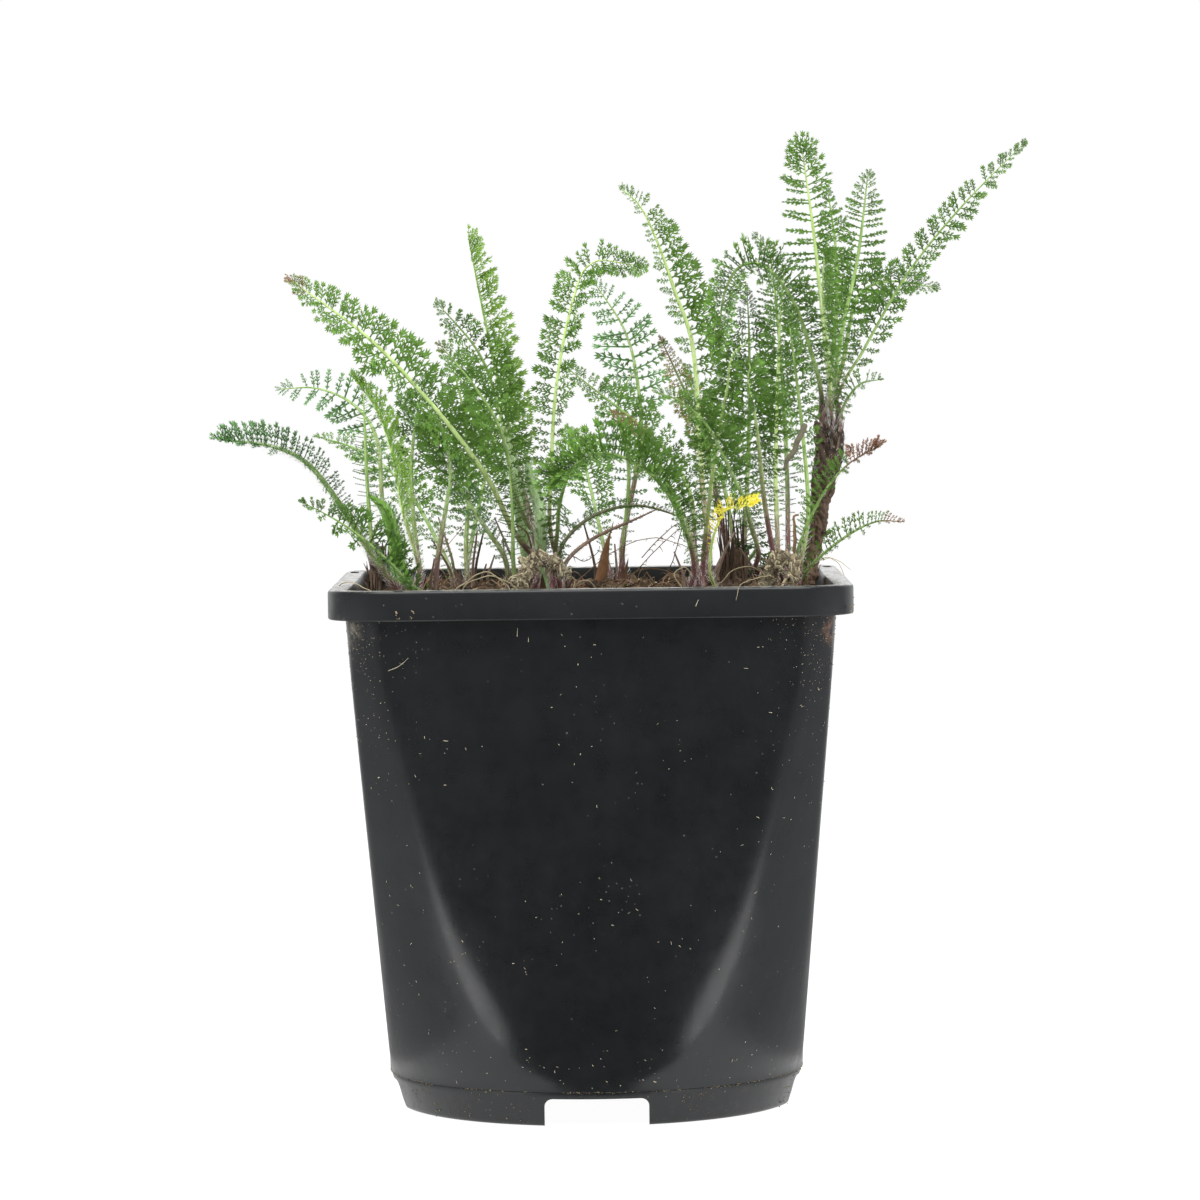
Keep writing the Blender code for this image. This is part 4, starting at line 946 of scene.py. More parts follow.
def build_litter(materials):
    """Loose bits on the mix: crumbs of peat, brown rootlets, pale straw and moss."""
    rng = random.Random(7)
    heap = Heap()
    for _ in range(PEAT_CRUMBS):
        x, y = inside_pot(rng)
        size = rng.choice((0.4, 0.5, 0.7, 0.9, 1.3, 2.0)) * rng.uniform(0.7, 1.2)
        centre = np.array((x, y, soil_height(x, y) + size * 0.35))
        heap.add(*crumb(rng, centre, size, rng.uniform(1, 1.6)), tone=rng.random() ** 1.5)
    for _ in range(ROOTLETS):
        x, y = inside_pot(rng)
        length = rng.uniform(6, 26)
        line = wander(rng, (x, y), rng.uniform(0, 6.3), length, 9, 2.6, rng.choice((0.3, 0.6, 1.2, 2.6, 4.5)))
        wide = np.linspace(1, 0.5, 9) * rng.uniform(0.1, 0.28)
        heap.add(*tube(line, wide, 3, ends=False), index=1, tone=rng.random())
    for _ in range(STRAW_BITS):
        x, y = inside_pot(rng)
        heading, length = rng.uniform(0, 6.3), rng.uniform(6, 24)
        line = wander(rng, (x, y), heading, length, 6, 0.5, rng.choice((0.2, 0.5, 1.5)))
        across = np.array((0, 0, 1.0)) * 0.5 + unit(np.cross(line[-1] - line[0], (0, 0, 1)))
        half = np.full(6, rng.uniform(0.2, 0.55))
        heap.add(*strip(line, half, unit(across)), index=2, tone=rng.random())
    for _ in range(MOSS_TUFTS):
        x, y = inside_pot(rng, 58)
        for _ in range(rng.randint(14, 34)):
            angle, lean = rng.uniform(0, 6.3), rng.uniform(0.2, 1.2)
            base = np.array((x + rng.gauss(0, 1.4), y + rng.gauss(0, 1.4), 0))
            base[2] = soil_height(base[0], base[1])
            flat = math.sin(lean)
            way = np.array((math.cos(angle) * flat, math.sin(angle) * flat, math.cos(lean)))
            length = rng.uniform(0.9, 2.4)
            line = np.array([base, base + way * length * 0.5, base + way * length + (0, 0, -0.1)])
            across = unit(np.cross(way, (0.3, 0.2, 1)))
            heap.add(*strip(line, np.array((0.16, 0.22, 0.02)), across), index=3, tone=rng.random())
    heap.build("mix_litter", materials, slot="soil", smooth=False)


STRAWS = (
    # (path, half thickness, finish: 0 pale, 1 brown, 2 grey, whether it has side twigs)
    (((-44.8, -45, 139), (-44.8, -45, 143.6), (-40.6, -40, 151.9), (-36.3, -36, 157.6),
     (-31.5, -32, 163.6)), 0.17, 1, 0),
    (((57, 50, 141), (64, 57, 145.4), (69.5, 60, 146.2), (74, 57, 143)), 0.2, 0, 0),
    (((60, 55, 141), (66, 59, 146.4), (70, 58, 145.6), (72.2, 53, 141.5), (71.8, 49, 138)), 0.18, 0, 0),
    (((52, 44, 142), (58, 55, 145.6), (63, 63, 147.0), (66, 68, 146)), 0.16, 0, 0),
    (((-38, -50, 140), (-35.9, -50, 143.9), (-30.8, -50, 147.3), (-27, -50, 148.2), (-22.5, -50, 144.9),
     (-20, -49, 140)), 0.3, 0, 0),
    (((-36, -42, 140), (-33, -44, 145), (-28, -45, 147), (-22, -44, 145.5), (-18, -42, 141)), 0.22, 0, 0),
    (((52, -34, 144), (47.8, -40, 146), (42.8, -56, 145.8), (39.6, -68, 145.2), (38.8, -71, 142.6),
     (38.3, -71.3, 141.2)), 0.2, 0, 0),
    (((50, -30, 143), (44, -40, 148.5), (38, -46, 148), (34, -48, 144.5), (26, -49, 143), (14, -49, 142.5)),
     0.2, 0, 0),
    (((-10, -2, 143), (-7.8, 0, 150.5), (-1.5, 4, 148.8), (2.1, 6, 150.9), (2.7, 6, 152.8)), 0.22, 1, 1),
    (((-6, 10, 141), (6, 4, 151), (18, 2, 155), (30, 6, 150), (36, 8, 141)), 0.18, 1, 1),
    (((4, -20, 140), (12, -26, 147), (20, -26, 155), (27, -22, 160)), 0.2, 1, 1),
    (((-70, -30, 141.2), (-66, -36, 145.6), (-60, -44, 144), (-52, -47, 140)), 0.24, 0, 0),
    (((38, -52, 139), (45, -58, 142), (52, -57, 145), (60, -50, 141)), 0.2, 1, 0),
    (((20, 20, 140), (24, 12, 152), (26, 4, 163), (24, -4, 172)), 0.2, 1, 1),
    (((14, -6, 150), (22, -10, 158), (28, -12, 160), (36, -10, 157)), 0.2, 1, 1),
    (((55.6, -28, 142), (55.4, -28, 157.5), (55.3, -28, 161.6), (56.7, -28, 162)), 0.55, 1, 0),
    (((58.6, -27.5, 186), (57.2, -30, 183.2), (54.7, -32, 178.85), (52.2, -34, 174.5)), 0.85, 2, 0),
    (((-15.6, -20, 152.1), (-16.4, -20, 155), (-17.7, -20, 158.4), (-20, -20, 160)), 0.45, 1, 0),
    (((-6, -40, 139.5), (-3.5, -41, 144.5), (-0.5, -42, 145.5), (1.5, -42, 142.5), (1, -42, 140)), 0.2, 0,
     0),
    (((-8, -41, 140), (-5, -42, 143), (-4, -42, 145.8), (-6, -42, 146.5), (-7.5, -42, 144)), 0.16, 0, 0),
    (((27, -44, 140), (24, -46, 144), (22.5, -47, 147), (25, -47, 149), (27.5, -46, 146.5)), 0.2, 0, 0),
)


def build_straws(finishes):
    """The longer dry stalks and roots that arch above the rim."""
    rng = random.Random(19)
    noise.seed_set(19)
    heap = Heap()
    for path, half, finish, twigs in STRAWS:
        line = smooth_path(path, 30)
        line += np.array([noise.noise_vector(Vector(p) * 0.3) for p in line]) * min(0.9, 0.2 + half * 2) * 0.6
        taper = np.interp(np.linspace(0, 1, 30), (0, 0.7, 1), (1, 0.85, 0.5))
        wide = half * (0.68 if half < 0.5 else 1) * taper
        heap.add(*tube(line, wide, 6), index=finish, tone=rng.random())
        for step in range(3, 28, 2) if twigs else ():
            start = line[step]
            way = unit(np.array((rng.gauss(0, 1), rng.gauss(0, 1), rng.gauss(0, 1))))
            twig = smooth_path([start, start + way * 0.9, start + way * 1.3 + (0, 0, -0.5)], 4)
            heap.add(*tube(twig, np.linspace(0.15, 0.05, 4), 3), index=1, tone=rng.random())
    heap.build("dry_stalks", finishes, slot="bark")


# Fronds

class Cluster:
    """Flat points and triangles of one leaflet."""

    def __init__(self):
        self.points, self.faces = [], []

    def lobe(self, start, way, length, width, across, curl=0.0):
        """A pointed lobe, narrow where it starts and widest at its middle, that curls out of its plane."""
        n = len(self.points)
        middle = start + way * length * 0.5
        end = start + way * length + np.cross(way, across) * curl * length
        near, wide = across * width * 0.55, across * width
        self.points += [start - near, start + near, middle + wide, end, middle - wide]
        self.faces += [(n, n + 1, n + 2), (n, n + 2, n + 4), (n + 4, n + 2, n + 3)]


def leaflet_template(rng, pairs, size, stalk, open_by):
    """A divided leaflet one unit long: X outward, Y towards the frond's tip, Z its face.

    pairs of lobes, each about size long and forked, leave the stalk at open_by degrees.
    """
    made = Cluster()
    bend, wave = rng.uniform(0.04, 0.18), rng.uniform(-0.12, 0.12)

    def axis(t):
        return np.array((t, bend * t * t, wave * t * t))

    steps = 3
    for across in (np.array((0, 1.0, 0.2)), np.array((0, -0.2, 1.0))):
        n = len(made.points)
        for i in range(steps + 1):
            half = stalk * (1 - 0.5 * i / steps)
            made.points += [axis(i / steps) - across * half, axis(i / steps) + across * half]
        for i in range(n, n + 2 * steps, 2):
            made.faces += [(i, i + 1, i + 3), (i, i + 3, i + 2)]
    for number in range(pairs):
        t = 0.14 + 0.78 * (number + rng.uniform(-0.2, 0.2)) / max(pairs - 0.5, 1)
        full = size * (0.72 + 0.4 * math.sin(math.pi * min(t * 1.1, 1)))
        turns = [rng.gauss(12, 14), rng.gauss(168, 14)]
        if number % 2 == 1 or pairs > 4:
            turns.append(rng.gauss(90, 25) * (1 if rng.random() < 0.7 else -1))
        for turn in turns:
            turn = math.radians(turn)
            radial = np.array((0, math.cos(turn), math.sin(turn)))
            away = math.radians(open_by + rng.uniform(-9, 9))
            way = np.array((math.cos(away), 0, 0)) + radial * math.sin(away)
            across = np.array((-math.sin(away), 0, 0)) + radial * math.cos(away)
            length = full * rng.uniform(0.72, 1.15)
            width = 0.016 + 0.082 * length
            made.lobe(axis(t), way, length, width, across, rng.uniform(-0.25, 0.25))
            for sign in (-1, 1):
                if rng.random() < 0.85:
                    tooth = way * math.cos(0.62) + across * sign * math.sin(0.62)
                    foot = axis(t) + way * length * rng.uniform(0.3, 0.5)
                    long = length * rng.uniform(0.42, 0.6)
                    made.lobe(foot, tooth, long, width * 0.62, np.cross(np.cross(way, across), tooth))
    for angle in (-34, 0, 31):
        way = np.array((math.cos(math.radians(angle)), math.sin(math.radians(angle)), 0.05))
        made.lobe(axis(0.92), way, 0.75 * size + 0.03, 0.02 + 0.08 * size, np.array((-way[1], way[0], 0)))
    return np.array(made.points), np.array(made.faces)


# The ways in which the fronds are divided. Lengths are in mm, angles in degrees.
# name: (gap between leaflets, lobe pairs, lobe length and stalk half width as shares of the leaflet, lobe
# opening, roll, lift, lobe spread)
KINDS = {
    "tuft": (2.15, 4, 0.38, 0.036, 46, 26, 20, 0.84),
    "fuzzy": (1.2, 4, 0.32, 0.034, 46, 34, 40, 0.80),
    "comb": (2.1, 6, 0.22, 0.042, 40, 44, 8, 0.80),
    "antler": (2.4, 4, 0.44, 0.050, 40, 14, 38, 0.95),
    "coarse": (2.7, 4, 0.42, 0.045, 42, 12, 14, 0.95),
    "open": (3.4, 4, 0.29, 0.042, 50, 10, 8, 0.85),
    "dense": (1.5, 6, 0.27, 0.036, 46, 30, 34, 0.84),
    "fishbone": (1.5, 4, 0.11, 0.05, 48, 40, 6, 0.95),
    "small": (1.3, 3, 0.42, 0.06, 42, 20, 34, 0.80),
    "young": (0.95, 4, 0.28, 0.05, 42, 20, 56, 0.95),
}
TEMPLATE_RNG = random.Random(5)
TEMPLATES = {kind: [leaflet_template(TEMPLATE_RNG, *spec[1:5]) for _ in range(LEAFLET_VARIANTS)]
             for kind, spec in KINDS.items()}

# How each frond differs from the first look in look_of. finish and rib name its materials, and kind names its
# division. tone is its paleness, with tip more at the end; rust browns what lies beyond rust_from; purple stains
# the petiole; fur is hairiness; reach and sides lengthen the leaflets, and ahead leans them towards the tip;
# stout thickens the rib; low, late and taper shape the outline in leaflet_profile.
LOOKS = {
    "a1": dict(finish="bright", kind="fuzzy", tone=0.8, fur=4, rib="rib_pale", reach=0.85, ahead=0.6,
               low=0.3, late=0.45, taper=0.35),
    "a2": dict(kind="young", tone=0.55, fur=5, stout=1.2, ahead=0.8),
    "a3": dict(finish="dark", kind="antler", tone=0.55, low=0.5, late=0.4, stout=0.7),
    "b1": dict(tone=0.6, rust=0.8, rib="rib_pale", stout=1.15, reach=0.9, low=0.2, late=0.5, taper=0.75),
    "b2": dict(rib="rib_pale", reach=0.95, low=0.25, taper=0.4),
    "b3": dict(finish="bright", kind="fuzzy", tone=0.6, reach=1.2, sides=(0.45, 1.1), ahead=0.1, taper=0.4),
    "b5": dict(tone=0.45, rust=0.4),
    "b6": dict(kind="fuzzy", reach=0.9),
    "b7": dict(finish="pale", kind="young", tone=0.6, fur=6, rib="rib_pale", ahead=0.8),
    "b8": dict(finish="pale", kind="young", tone=0.6, fur=6, rib="rib_pale", ahead=0.8),
    "b9": dict(finish="dark", kind="small", tone=0.3, rib="rib_dark", reach=0.55),
    "b10": dict(finish="dry", kind="fishbone", rust=1.0, fur=0, tone=0.3, rib="rib_dead", reach=0.4),
    "c1": dict(kind="dense", rib="rib_pale", low=0.15, late=0.5),
    "c2": dict(tone=0.6, tip=0.5, rib="rib_pale", sides=(0.5, 1.0), stout=1.1),
    "c3": dict(kind="fuzzy", tone=0.55, reach=1.3, low=0.3, late=0.4, taper=0.25),
    "c4": dict(finish="yellow", kind="small", tone=0.6, rib="rib_pale", purple=0.7, tip=0.5, low=-0.8,
               late=0.8, reach=1.3, stout=0.7, taper=0.3),
    "c6": dict(tone=0.4, rust=0.9, rust_from=0.82),
    "d1": dict(finish="dark", tone=0.4),
    "d3": dict(finish="dark", kind="coarse", tone=0.4),
    "d4": dict(finish="olive", kind="small", rust=0.8, rust_from=0.86, reach=0.75),
    "e1": dict(kind="fuzzy", low=0.2, late=0.5, rib="rib_pale"),
    "e2": dict(low=0.12, late=0.8, rib="rib_pale"),
    "e3": dict(low=0.12, late=0.75, tone=0.45),
    "e4": dict(finish="dark", kind="comb"),
    "e5": dict(kind="dense", tone=0.6, rust=1.0, rust_from=0.8, fur=2, stout=0.7, reach=1.3, low=0.4,
               late=0.8, taper=0.3),
    "e6": dict(kind="small", tone=0.6, rust=0.9, rust_from=0.84, reach=1.15, stout=0.7, low=0.4),
    "e7": dict(kind="fuzzy", reach=0.9, low=0.2, late=0.5),
    "f1": dict(kind="comb", tone=0.6, tip=0.7, rib="rib_pale", low=0.3, late=0.4, taper=0.35),
    "f2": dict(kind="comb", low=0.2, late=0.5),
    "f3": dict(kind="coarse", tone=0.2, reach=0.95, stout=0.6, low=0.3, late=0.3, ahead=0.3, taper=0.7),
    "f4": dict(finish="dark", kind="coarse", tone=0.55, low=0.3),
    "f5": dict(finish="dark", low=0.1, late=0.6),
    "f6": dict(kind="fuzzy", fur=2, ahead=0.25, low=0.2, late=0.35, taper=0.4),
    "f7": dict(kind="small", tone=0.6, stout=0.7, reach=1.3, low=0.3),
    "f8": dict(kind="fuzzy", tone=0.7, fur=4, reach=1.1, rib="rib_pale", low=0.4, late=0.5, taper=0.3),
    "g1": dict(kind="fishbone"),
    "g2": dict(finish="blue", kind="open", tone=0.4, reach=1.15),
    "g3": dict(finish="blue", kind="fuzzy", tone=0.3, fur=5, stout=1.4, reach=1.1, low=0.15, late=0.9,
               taper=0.3),
    "h1": dict(finish="blue", kind="fuzzy", fur=2, reach=0.8),
    "h2": dict(finish="dark", kind="fishbone", tone=0.4),
    "k1": dict(finish="blue", kind="open", tone=0.6, reach=1.15),
    "k2": dict(finish="blue", kind="open", tone=0.55, reach=1.1),
}
# Purple stain on the petioles, by crown
PURPLE = dict(a=0.95, b=1.0, c=0.95, d=1.0, e=1.0, f=1.0, g=0.9, h=0.8, k=0.9, l=0.8)
FINISH_SLOT = {"bright": "leaf_bright", "pale": "leaf_bright", "yellow": "leaf_yellow", "dry": "leaf_dry"}


def gathered(name, line):
    """The fronds of the woody shoot start close together at its head."""
    if name[0] != "f":
        return line
    centre = np.array(SHOOT_PATH[-1])
    keep = np.interp(line[:, 2], (centre[2], centre[2] + 17), (0.48, 1))[:, None]
    line = line.copy()
    line[:, :2] = centre[:2] + (line[:, :2] - centre[:2]) * keep
    return line


def look_of(name):
    first = dict(finish="green", kind="tuft", purple=PURPLE[name[0]], rust=0.0, rust_from=0.95, fur=1,
                 tone=0.5, tip=0.0, rib="rib", reach=1.0, stout=0.9, ahead=0.0, taper=0.8, sides=(1.0, 1.0))
    look = {**first, **LOOKS.get(name, {})}
    full = look["kind"] in ("young", "dense", "fuzzy")
    return {"low": 0.5 if full else 0.16, "late": 0.35 if full else 0.55, **look}


def build_frond(name, line, materials):
    _, width, facing, bare = FRONDS[name]
    look = look_of(name)
    gap, *_, roll_by, lift_by, spread = KINDS[look["kind"]]
    templates = TEMPLATES[look["kind"]]
    end_templates = TEMPLATES["tuft"] if look["kind"] == "comb" else templates
    rng = random.Random(f"frond_{name}")
    length = np.linalg.norm(np.diff(line, axis=0), axis=1).sum()
    bare = max(bare, LEAST_PETIOLE / length)
    first = bare * 0.82
    heap = Heap()
    steps = max(24, round(length / 2))
    shares = np.linspace(0, 1, steps)
    centre = at(line, shares)
    stout = look["stout"]
    half = np.interp(shares, (0, bare * 0.5, bare, 0.75, 1), (1.15, 0.85, 0.74, 0.48, 0.16)) * stout
    thick = np.interp(shares, (0, bare * 0.5, bare, 0.75, 1), (0.85, 0.7, 0.6, 0.42, 0.14)) * stout
    felted = look["kind"] == "young"
    if felted:
        half = np.interp(shares, (0, bare, 0.45, 0.85, 1), (0.8, 0.9, 1.9, 1.7, 0.4)) * stout
        thick = half * 0.8
    points, faces = tube(centre, half, 8, facing, thick)
    ring = np.repeat(shares, 8)
    stain = look["purple"] * np.clip(1.35 - ring / (bare * 1.4 + 0.06), 0, 1)
    browned = look["rust"] * np.clip((ring - look["rust_from"]) / 0.05, 0, 1)
    heap.add(points, faces, index=0 if felted else 1, purple=stain, rust=browned, tone=0.7)
    along, side, face = rib_frames(line, facing)

    def leaflet(u, sign, scale=1.0, rise=None, ahead=0.0):
        """One leaflet at share u of the blade, from the side of the rib that sign gives."""
        here = min(max(first + (1 - first) * u + rng.uniform(-0.3, 0.3) * gap / length, 0), 1)
        origin, t, x, n = (at(values, [here])[0] for values in (line, along, side, face))
        share = leaflet_profile(u, look["low"], look["late"], look["taper"])
        size = look["reach"] * width * 0.41 * share * rng.uniform(0.8, 1.05) * scale * look["sides"][sign > 0]
        if share < 0.06:
            return
        lift = math.radians(rng.gauss(lift_by, 11) if rise is None else rise)
        sweep = 0.08 + 0.25 * u * u + 6 * max(u - 0.88, 0) + rng.uniform(-0.13, 0.13) + look["ahead"] + ahead
        out = unit(x * sign * math.cos(lift) + n * math.sin(lift) + t * sweep)
        up = unit(t - out * (t @ out))
        top = np.cross(out, up) * sign
        roll = math.radians(rng.gauss(roll_by, 15))
        up, top = up * math.cos(roll) + top * math.sin(roll), top * math.cos(roll) - up * math.sin(roll)
        shape, tris = (end_templates if u > 0.86 else templates)[rng.randrange(len(templates))]
        start = origin + x * sign * np.interp(here, shares, half) * 0.7 * math.cos(lift)
        depth = spread * max(size, 2.9 * min(scale * 1.6, 1) * (0.25 + 0.75 * share))
        local = shape[:, :1] * out * size + shape[:, 1:2] * up * depth + shape[:, 2:] * top * depth
        worn = look["rust"] * min(max((u - look["rust_from"] + rng.uniform(-0.04, 0.04)) / 0.05, 0), 1)
        # Painted shade: darker towards the frond's base and, in each leaflet, towards the rib.
        shade = look["tone"] + rng.gauss(0, 0.13) - 0.2 * (1 - u) + 0.1 + look["tip"] * max(u - 0.6, 0) / 0.4
        tone = np.clip(shade + 0.3 * (shape[:, 0] - 0.5), 0, 1.4)
        heap.add(start + local, tris, index=0, tone=tone, rust=worn, purple=0)

    u = 0.5 * gap / length
    while u < 1:
        for sign in (-1, 1):
            if rng.random() > 0.025:
                leaflet(u, sign)
        if look["kind"] in ("tuft", "antler", "dense", "fuzzy") and rng.random() < 0.55:
            leaflet(u, rng.choice((-1, 1)), 0.5 if look["kind"] == "fuzzy" else 0.36, rng.uniform(50, 85))
        u += gap * (1 - 0.55 * u**3) * rng.uniform(0.85, 1.15) / (length * (1 - first))
    for place_at, ahead in ((0.97, 0.4), (0.99, 1.3), (1.0, 4)):
        for sign in (-1, 1):
            leaflet(place_at, sign, 1.0, ahead=ahead)
    hairs(heap, rng, line, shares, half, facing, bare, look["fur"])
    slot = FINISH_SLOT.get(look["finish"], "leaf_green")
    dressed = [materials[look["finish"]], materials[look["rib"]], materials["hair"]]
    heap.build(f"leaf_{name}", dressed, slot=slot, replaces=(f"frond_{name}",), smooth=False)


def hairs(heap, rng, line, shares, half, facing, bare, fur):
    """Long silky hairs, thickest on the petiole and on young leaves."""
    length = np.linalg.norm(np.diff(line, axis=0), axis=1).sum()
    along, side, face = rib_frames(line, facing)
    reach = 0.95 if fur > 2 else min(bare * 2.2, 0.9)
    for _ in range(int(length * reach * (3.2 + 2.6 * fur))):
        share = rng.random() ** 1.25 * reach
        origin, t, x, n = (at(values, [share])[0] for values in (line, along, side, face))
        out = outward(rng, x, n)
        start = origin + out * np.interp(share, shares, half) * 0.85
        way = unit(out * rng.uniform(0.35, 1.1) + t * rng.uniform(0.5, 1.3))
        long = rng.uniform(0.9, 2.3) * (1.25 if fur > 2 else 1)
        middle = start + way * long * 0.55
        end = middle + unit(way + t * 0.8) * long * 0.45
        across = unit(np.cross(way, (rng.uniform(-1, 1), 1, rng.uniform(-1, 1)))) * 0.035
        heap.add([start - across, start + across, middle + across * 0.7, middle - across * 0.7, end],
                 ((0, 1, 2, 3), (3, 2, 4)), index=2, tone=rng.random(), rust=0, purple=0)


# Stems, stumps and curls

def outward(rng, side, face):
    """A way out from a line, at a turn that rng draws."""
    angle = rng.uniform(0, 2 * math.pi)
    return side * math.cos(angle) + face * math.sin(angle)


def fur_over(heap, rng, line, wide, count, long, index):
    """Short hairs all over a stem or curl."""
    along, side, face = rib_frames(line, TUBE_FACING)
    for _ in range(count):
        i = rng.randrange(len(line))
        out = outward(rng, side[i], face[i])
        start = line[i] + out * wide[i] * 0.95
        way = unit(out * rng.uniform(0.3, 1) + along[i] * rng.uniform(0.2, 1.2))
        end = start + way * long * rng.uniform(0.5, 1.2) + (0, 0, -0.15)
        across = unit(np.cross(way, (rng.uniform(-1, 1), 1, rng.uniform(-1, 1)))) * 0.045
        heap.add([start - across, start + across, end], ((0, 1, 2),), index=index, tone=rng.random())


SCRAPS = (
    # old leaf bases on the woody shoot: (path, widest half width)
    (((60.2, -8, 189.2), (62.1, -8, 188.0), (64.4, -8, 186.5), (67.1, -8, 183.5), (68.6, -7, 181.6)), 0.32),
    (((62.1, -6, 186.9), (62.9, -6, 184.1), (64.4, -6.4, 181.5), (65.4, -6, 180.3)), 1.0),
    (((61.7, -6, 182.7), (63.2, -6.2, 179.5), (64.4, -6, 176.4), (65.8, -5.4, 173.2)), 0.95),
    (((69.9, -3, 180.2), (71.4, -3, 179.8), (71.8, -3, 178.2), (71.2, -3, 176.9)), 0.24),
    (((62.9, -4, 176.0), (62.4, -4.4, 174.4), (63.2, -4, 173.4)), 0.4),
    (((62.6, -2, 155.6), (65.0, -2.6, 155.9), (66.4, -2.4, 156.6)), 0.7),
)


def woolly(heap, rng, line, wide, count, size):
    """Knobs of unopened leaflets over a curl."""
    _, side, face = rib_frames(line, TUBE_FACING)
    for _ in range(count):
        i = rng.randrange(len(line))
        out = outward(rng, side[i], face[i])
        centre = line[i] + out * wide[i] * rng.uniform(0.75, 1.05)
        heap.add(*crumb(rng, centre, size * rng.uniform(0.5, 1.2), 1.4), tone=rng.random())


def build_stems(materials):
    rng = random.Random(23)

    def barky(i, angle, p):
        around = Vector((math.cos(angle), math.sin(angle), 0))
        flake = abs(noise.noise(Vector((p[0] * 0.3, p[1] * 0.3, p[2] * 0.2)) + around * 1.4)) * 1.3
        ring = 0.25 * abs(math.sin(p[2] * 0.9 + 2 * noise.noise(Vector(p) * 0.2)))
        return flake + ring + 0.5 * noise.noise(Vector(p) * 0.9 + around * 3) - 0.45

    heap = Heap()
    line = smooth_path(SHOOT_PATH, 170)
    wide = radii_along(SHOOT_RADII, 170)
    wide += np.interp(line[:, 2], (140, 150, 170, 178, 183, 187), (0.9, 0, 0, 0.9, 0.7, -0.9))
    tone = np.repeat(np.clip(0.75 - (line[:, 2] - 140) / 60, 0, 0.7), 40)
    heap.add(*tube(line, wide, 40, bump=barky), tone=tone)
    along, side, face = rib_frames(line, TUBE_FACING)
    for _ in range(STEM_SCRAPS):
        share = rng.random() ** 0.7
        i = int(share * 169)
        out = outward(rng, side[i], face[i])
        across = unit(np.cross(out, along[i]))
        long = rng.uniform(1.2, 4.2) * (0.6 + 0.7 * share)
        start = line[i] + out * wide[i] * 0.95
        flare = rng.uniform(0.02, 0.22)
        scrap = np.array([start + along[i] * long * t + out * (0.3 + flare * long * t * t) for t in
                          np.linspace(0, 1, 6)])
        scrap += across * np.linspace(0, rng.uniform(-0.7, 0.7), 6)[:, None] ** 2
        half = np.array((1, 1.05, 0.95, 0.7, 0.4, 0.05)) * rng.uniform(0.2, 0.6)
        heap.add(*strip(scrap, half, across), index=1, tone=rng.random())
    for path, half in SCRAPS:
        scrap = smooth_path(path, 16)
        half = half * np.interp(np.linspace(0, 1, 16), (0, 0.15, 0.6, 1), (0.35, 1, 0.9, 0.3))
        half *= np.array([rng.uniform(0.8, 1.15) for _ in half])
        for turn in (0, 1.3):
            across = unit(np.cross(scrap[-1] - scrap[0], (math.sin(turn), -math.cos(turn), 0)))
            heap.add(*strip(scrap, half, across), index=1, tone=rng.uniform(0.1, 0.8))
    fur_over(heap, rng, line[120:], wide[120:] + 0.4, STEM_FUR, 1.4, 2)
    heap.build("woody_stem", [materials["bark"], materials["scale"], materials["hair"]], slot="bark",
               replaces=("woody_shoot",), smooth=False)
    shapes = {"curled_leaf": ("fur", 20, 500), "curled_bud": ("fur", 16, 320), "dead_leaf": ("blade", 14, 0),
              "old_stump": ("bark", 30, 0), "crown_b": ("crown", 24, 420)}
    for name, (finish, sides, fur) in shapes.items():
        path, radii = CURLS[name]
        heap = Heap()
        line = smooth_path(path, 46)
        wide = radii_along(radii, 46)
        if finish == "fur":
            wide = np.minimum(wide, 1.75) * 0.82
        if finish == "blade":
            wide = np.interp(np.linspace(0, 1, 46), (0, 0.25, 0.5, 0.7, 0.85, 1),
                             (0.7, 1.4, 1.5, 0.9, 0.25, 0.06))
        thick = wide * (0.3 if finish == "blade" else 1)

        def rough(i, angle, p):
            size = {"bark": 1.2, "blade": 0.15, "fur": 0.35, "crown": 0.4}[finish]
            around = Vector((math.cos(angle * 2), math.sin(angle * 2), 0))
            return size * (abs(noise.noise(Vector(p) * 0.5 + around * 1.5)) - 0.25)

        heap.add(*tube(line, wide, sides, thick=thick, bump=rough), tone=0.2 if finish == "fur" else 0.5)
        if finish == "fur":
            woolly(heap, rng, line, wide, fur, 0.3)
        if fur:
            fur_over(heap, rng, line, wide, fur, 1.1, 1)
        for _ in range(CURL_TWISTS if finish == "fur" else 0):
            way, number = unit(np.array([rng.gauss(0, 1) for _ in range(3)])), rng.randrange(4, len(line))
            spot = line[number] + way * wide[number] * rng.uniform(0.8, 1.5)
            turn = np.array([rng.gauss(0, 0.7) for _ in range(3)])
            bend = [spot, spot + turn + (0, 0, 0.5), spot + turn * 1.6, spot + turn * 1.1 - (0, 0, 0.5)]
            half = np.linspace(0.42, 0.2, 5) * rng.uniform(0.6, 1.2)
            heap.add(*tube(smooth_path(bend, 5), half, 4), tone=rng.random())
        for _ in range(STUMP_STUBS if finish == "bark" else 0):
            angle, away = rng.uniform(0, 2 * math.pi), rng.uniform(2.2, 4)
            x, y = STUMP_AT[0] + away * math.cos(angle), STUMP_AT[1] + away * math.sin(angle)
            stub = smooth_path([(x, y, 136), (x, y, 144), (x + rng.gauss(0, 1), y, rng.uniform(148, 166))], 8)
            half = np.linspace(0.5, 0.12, 8) * rng.uniform(0.5, 1.2)
            heap.add(*tube(stub, half, 5), tone=rng.random() * 0.5)
        heap.build(f"{name}_body", [materials[finish], materials["hair"]], replaces=(name,),
                   slot=frame_slot(name), smooth=finish == "crown")


def frame_slot(cad_node):
    """The record's material slot of a CAD node."""
    for part in frame["record"]["subparts"]:
        if part["node"] == cad_node:
            return part["material_slot"]
    return None


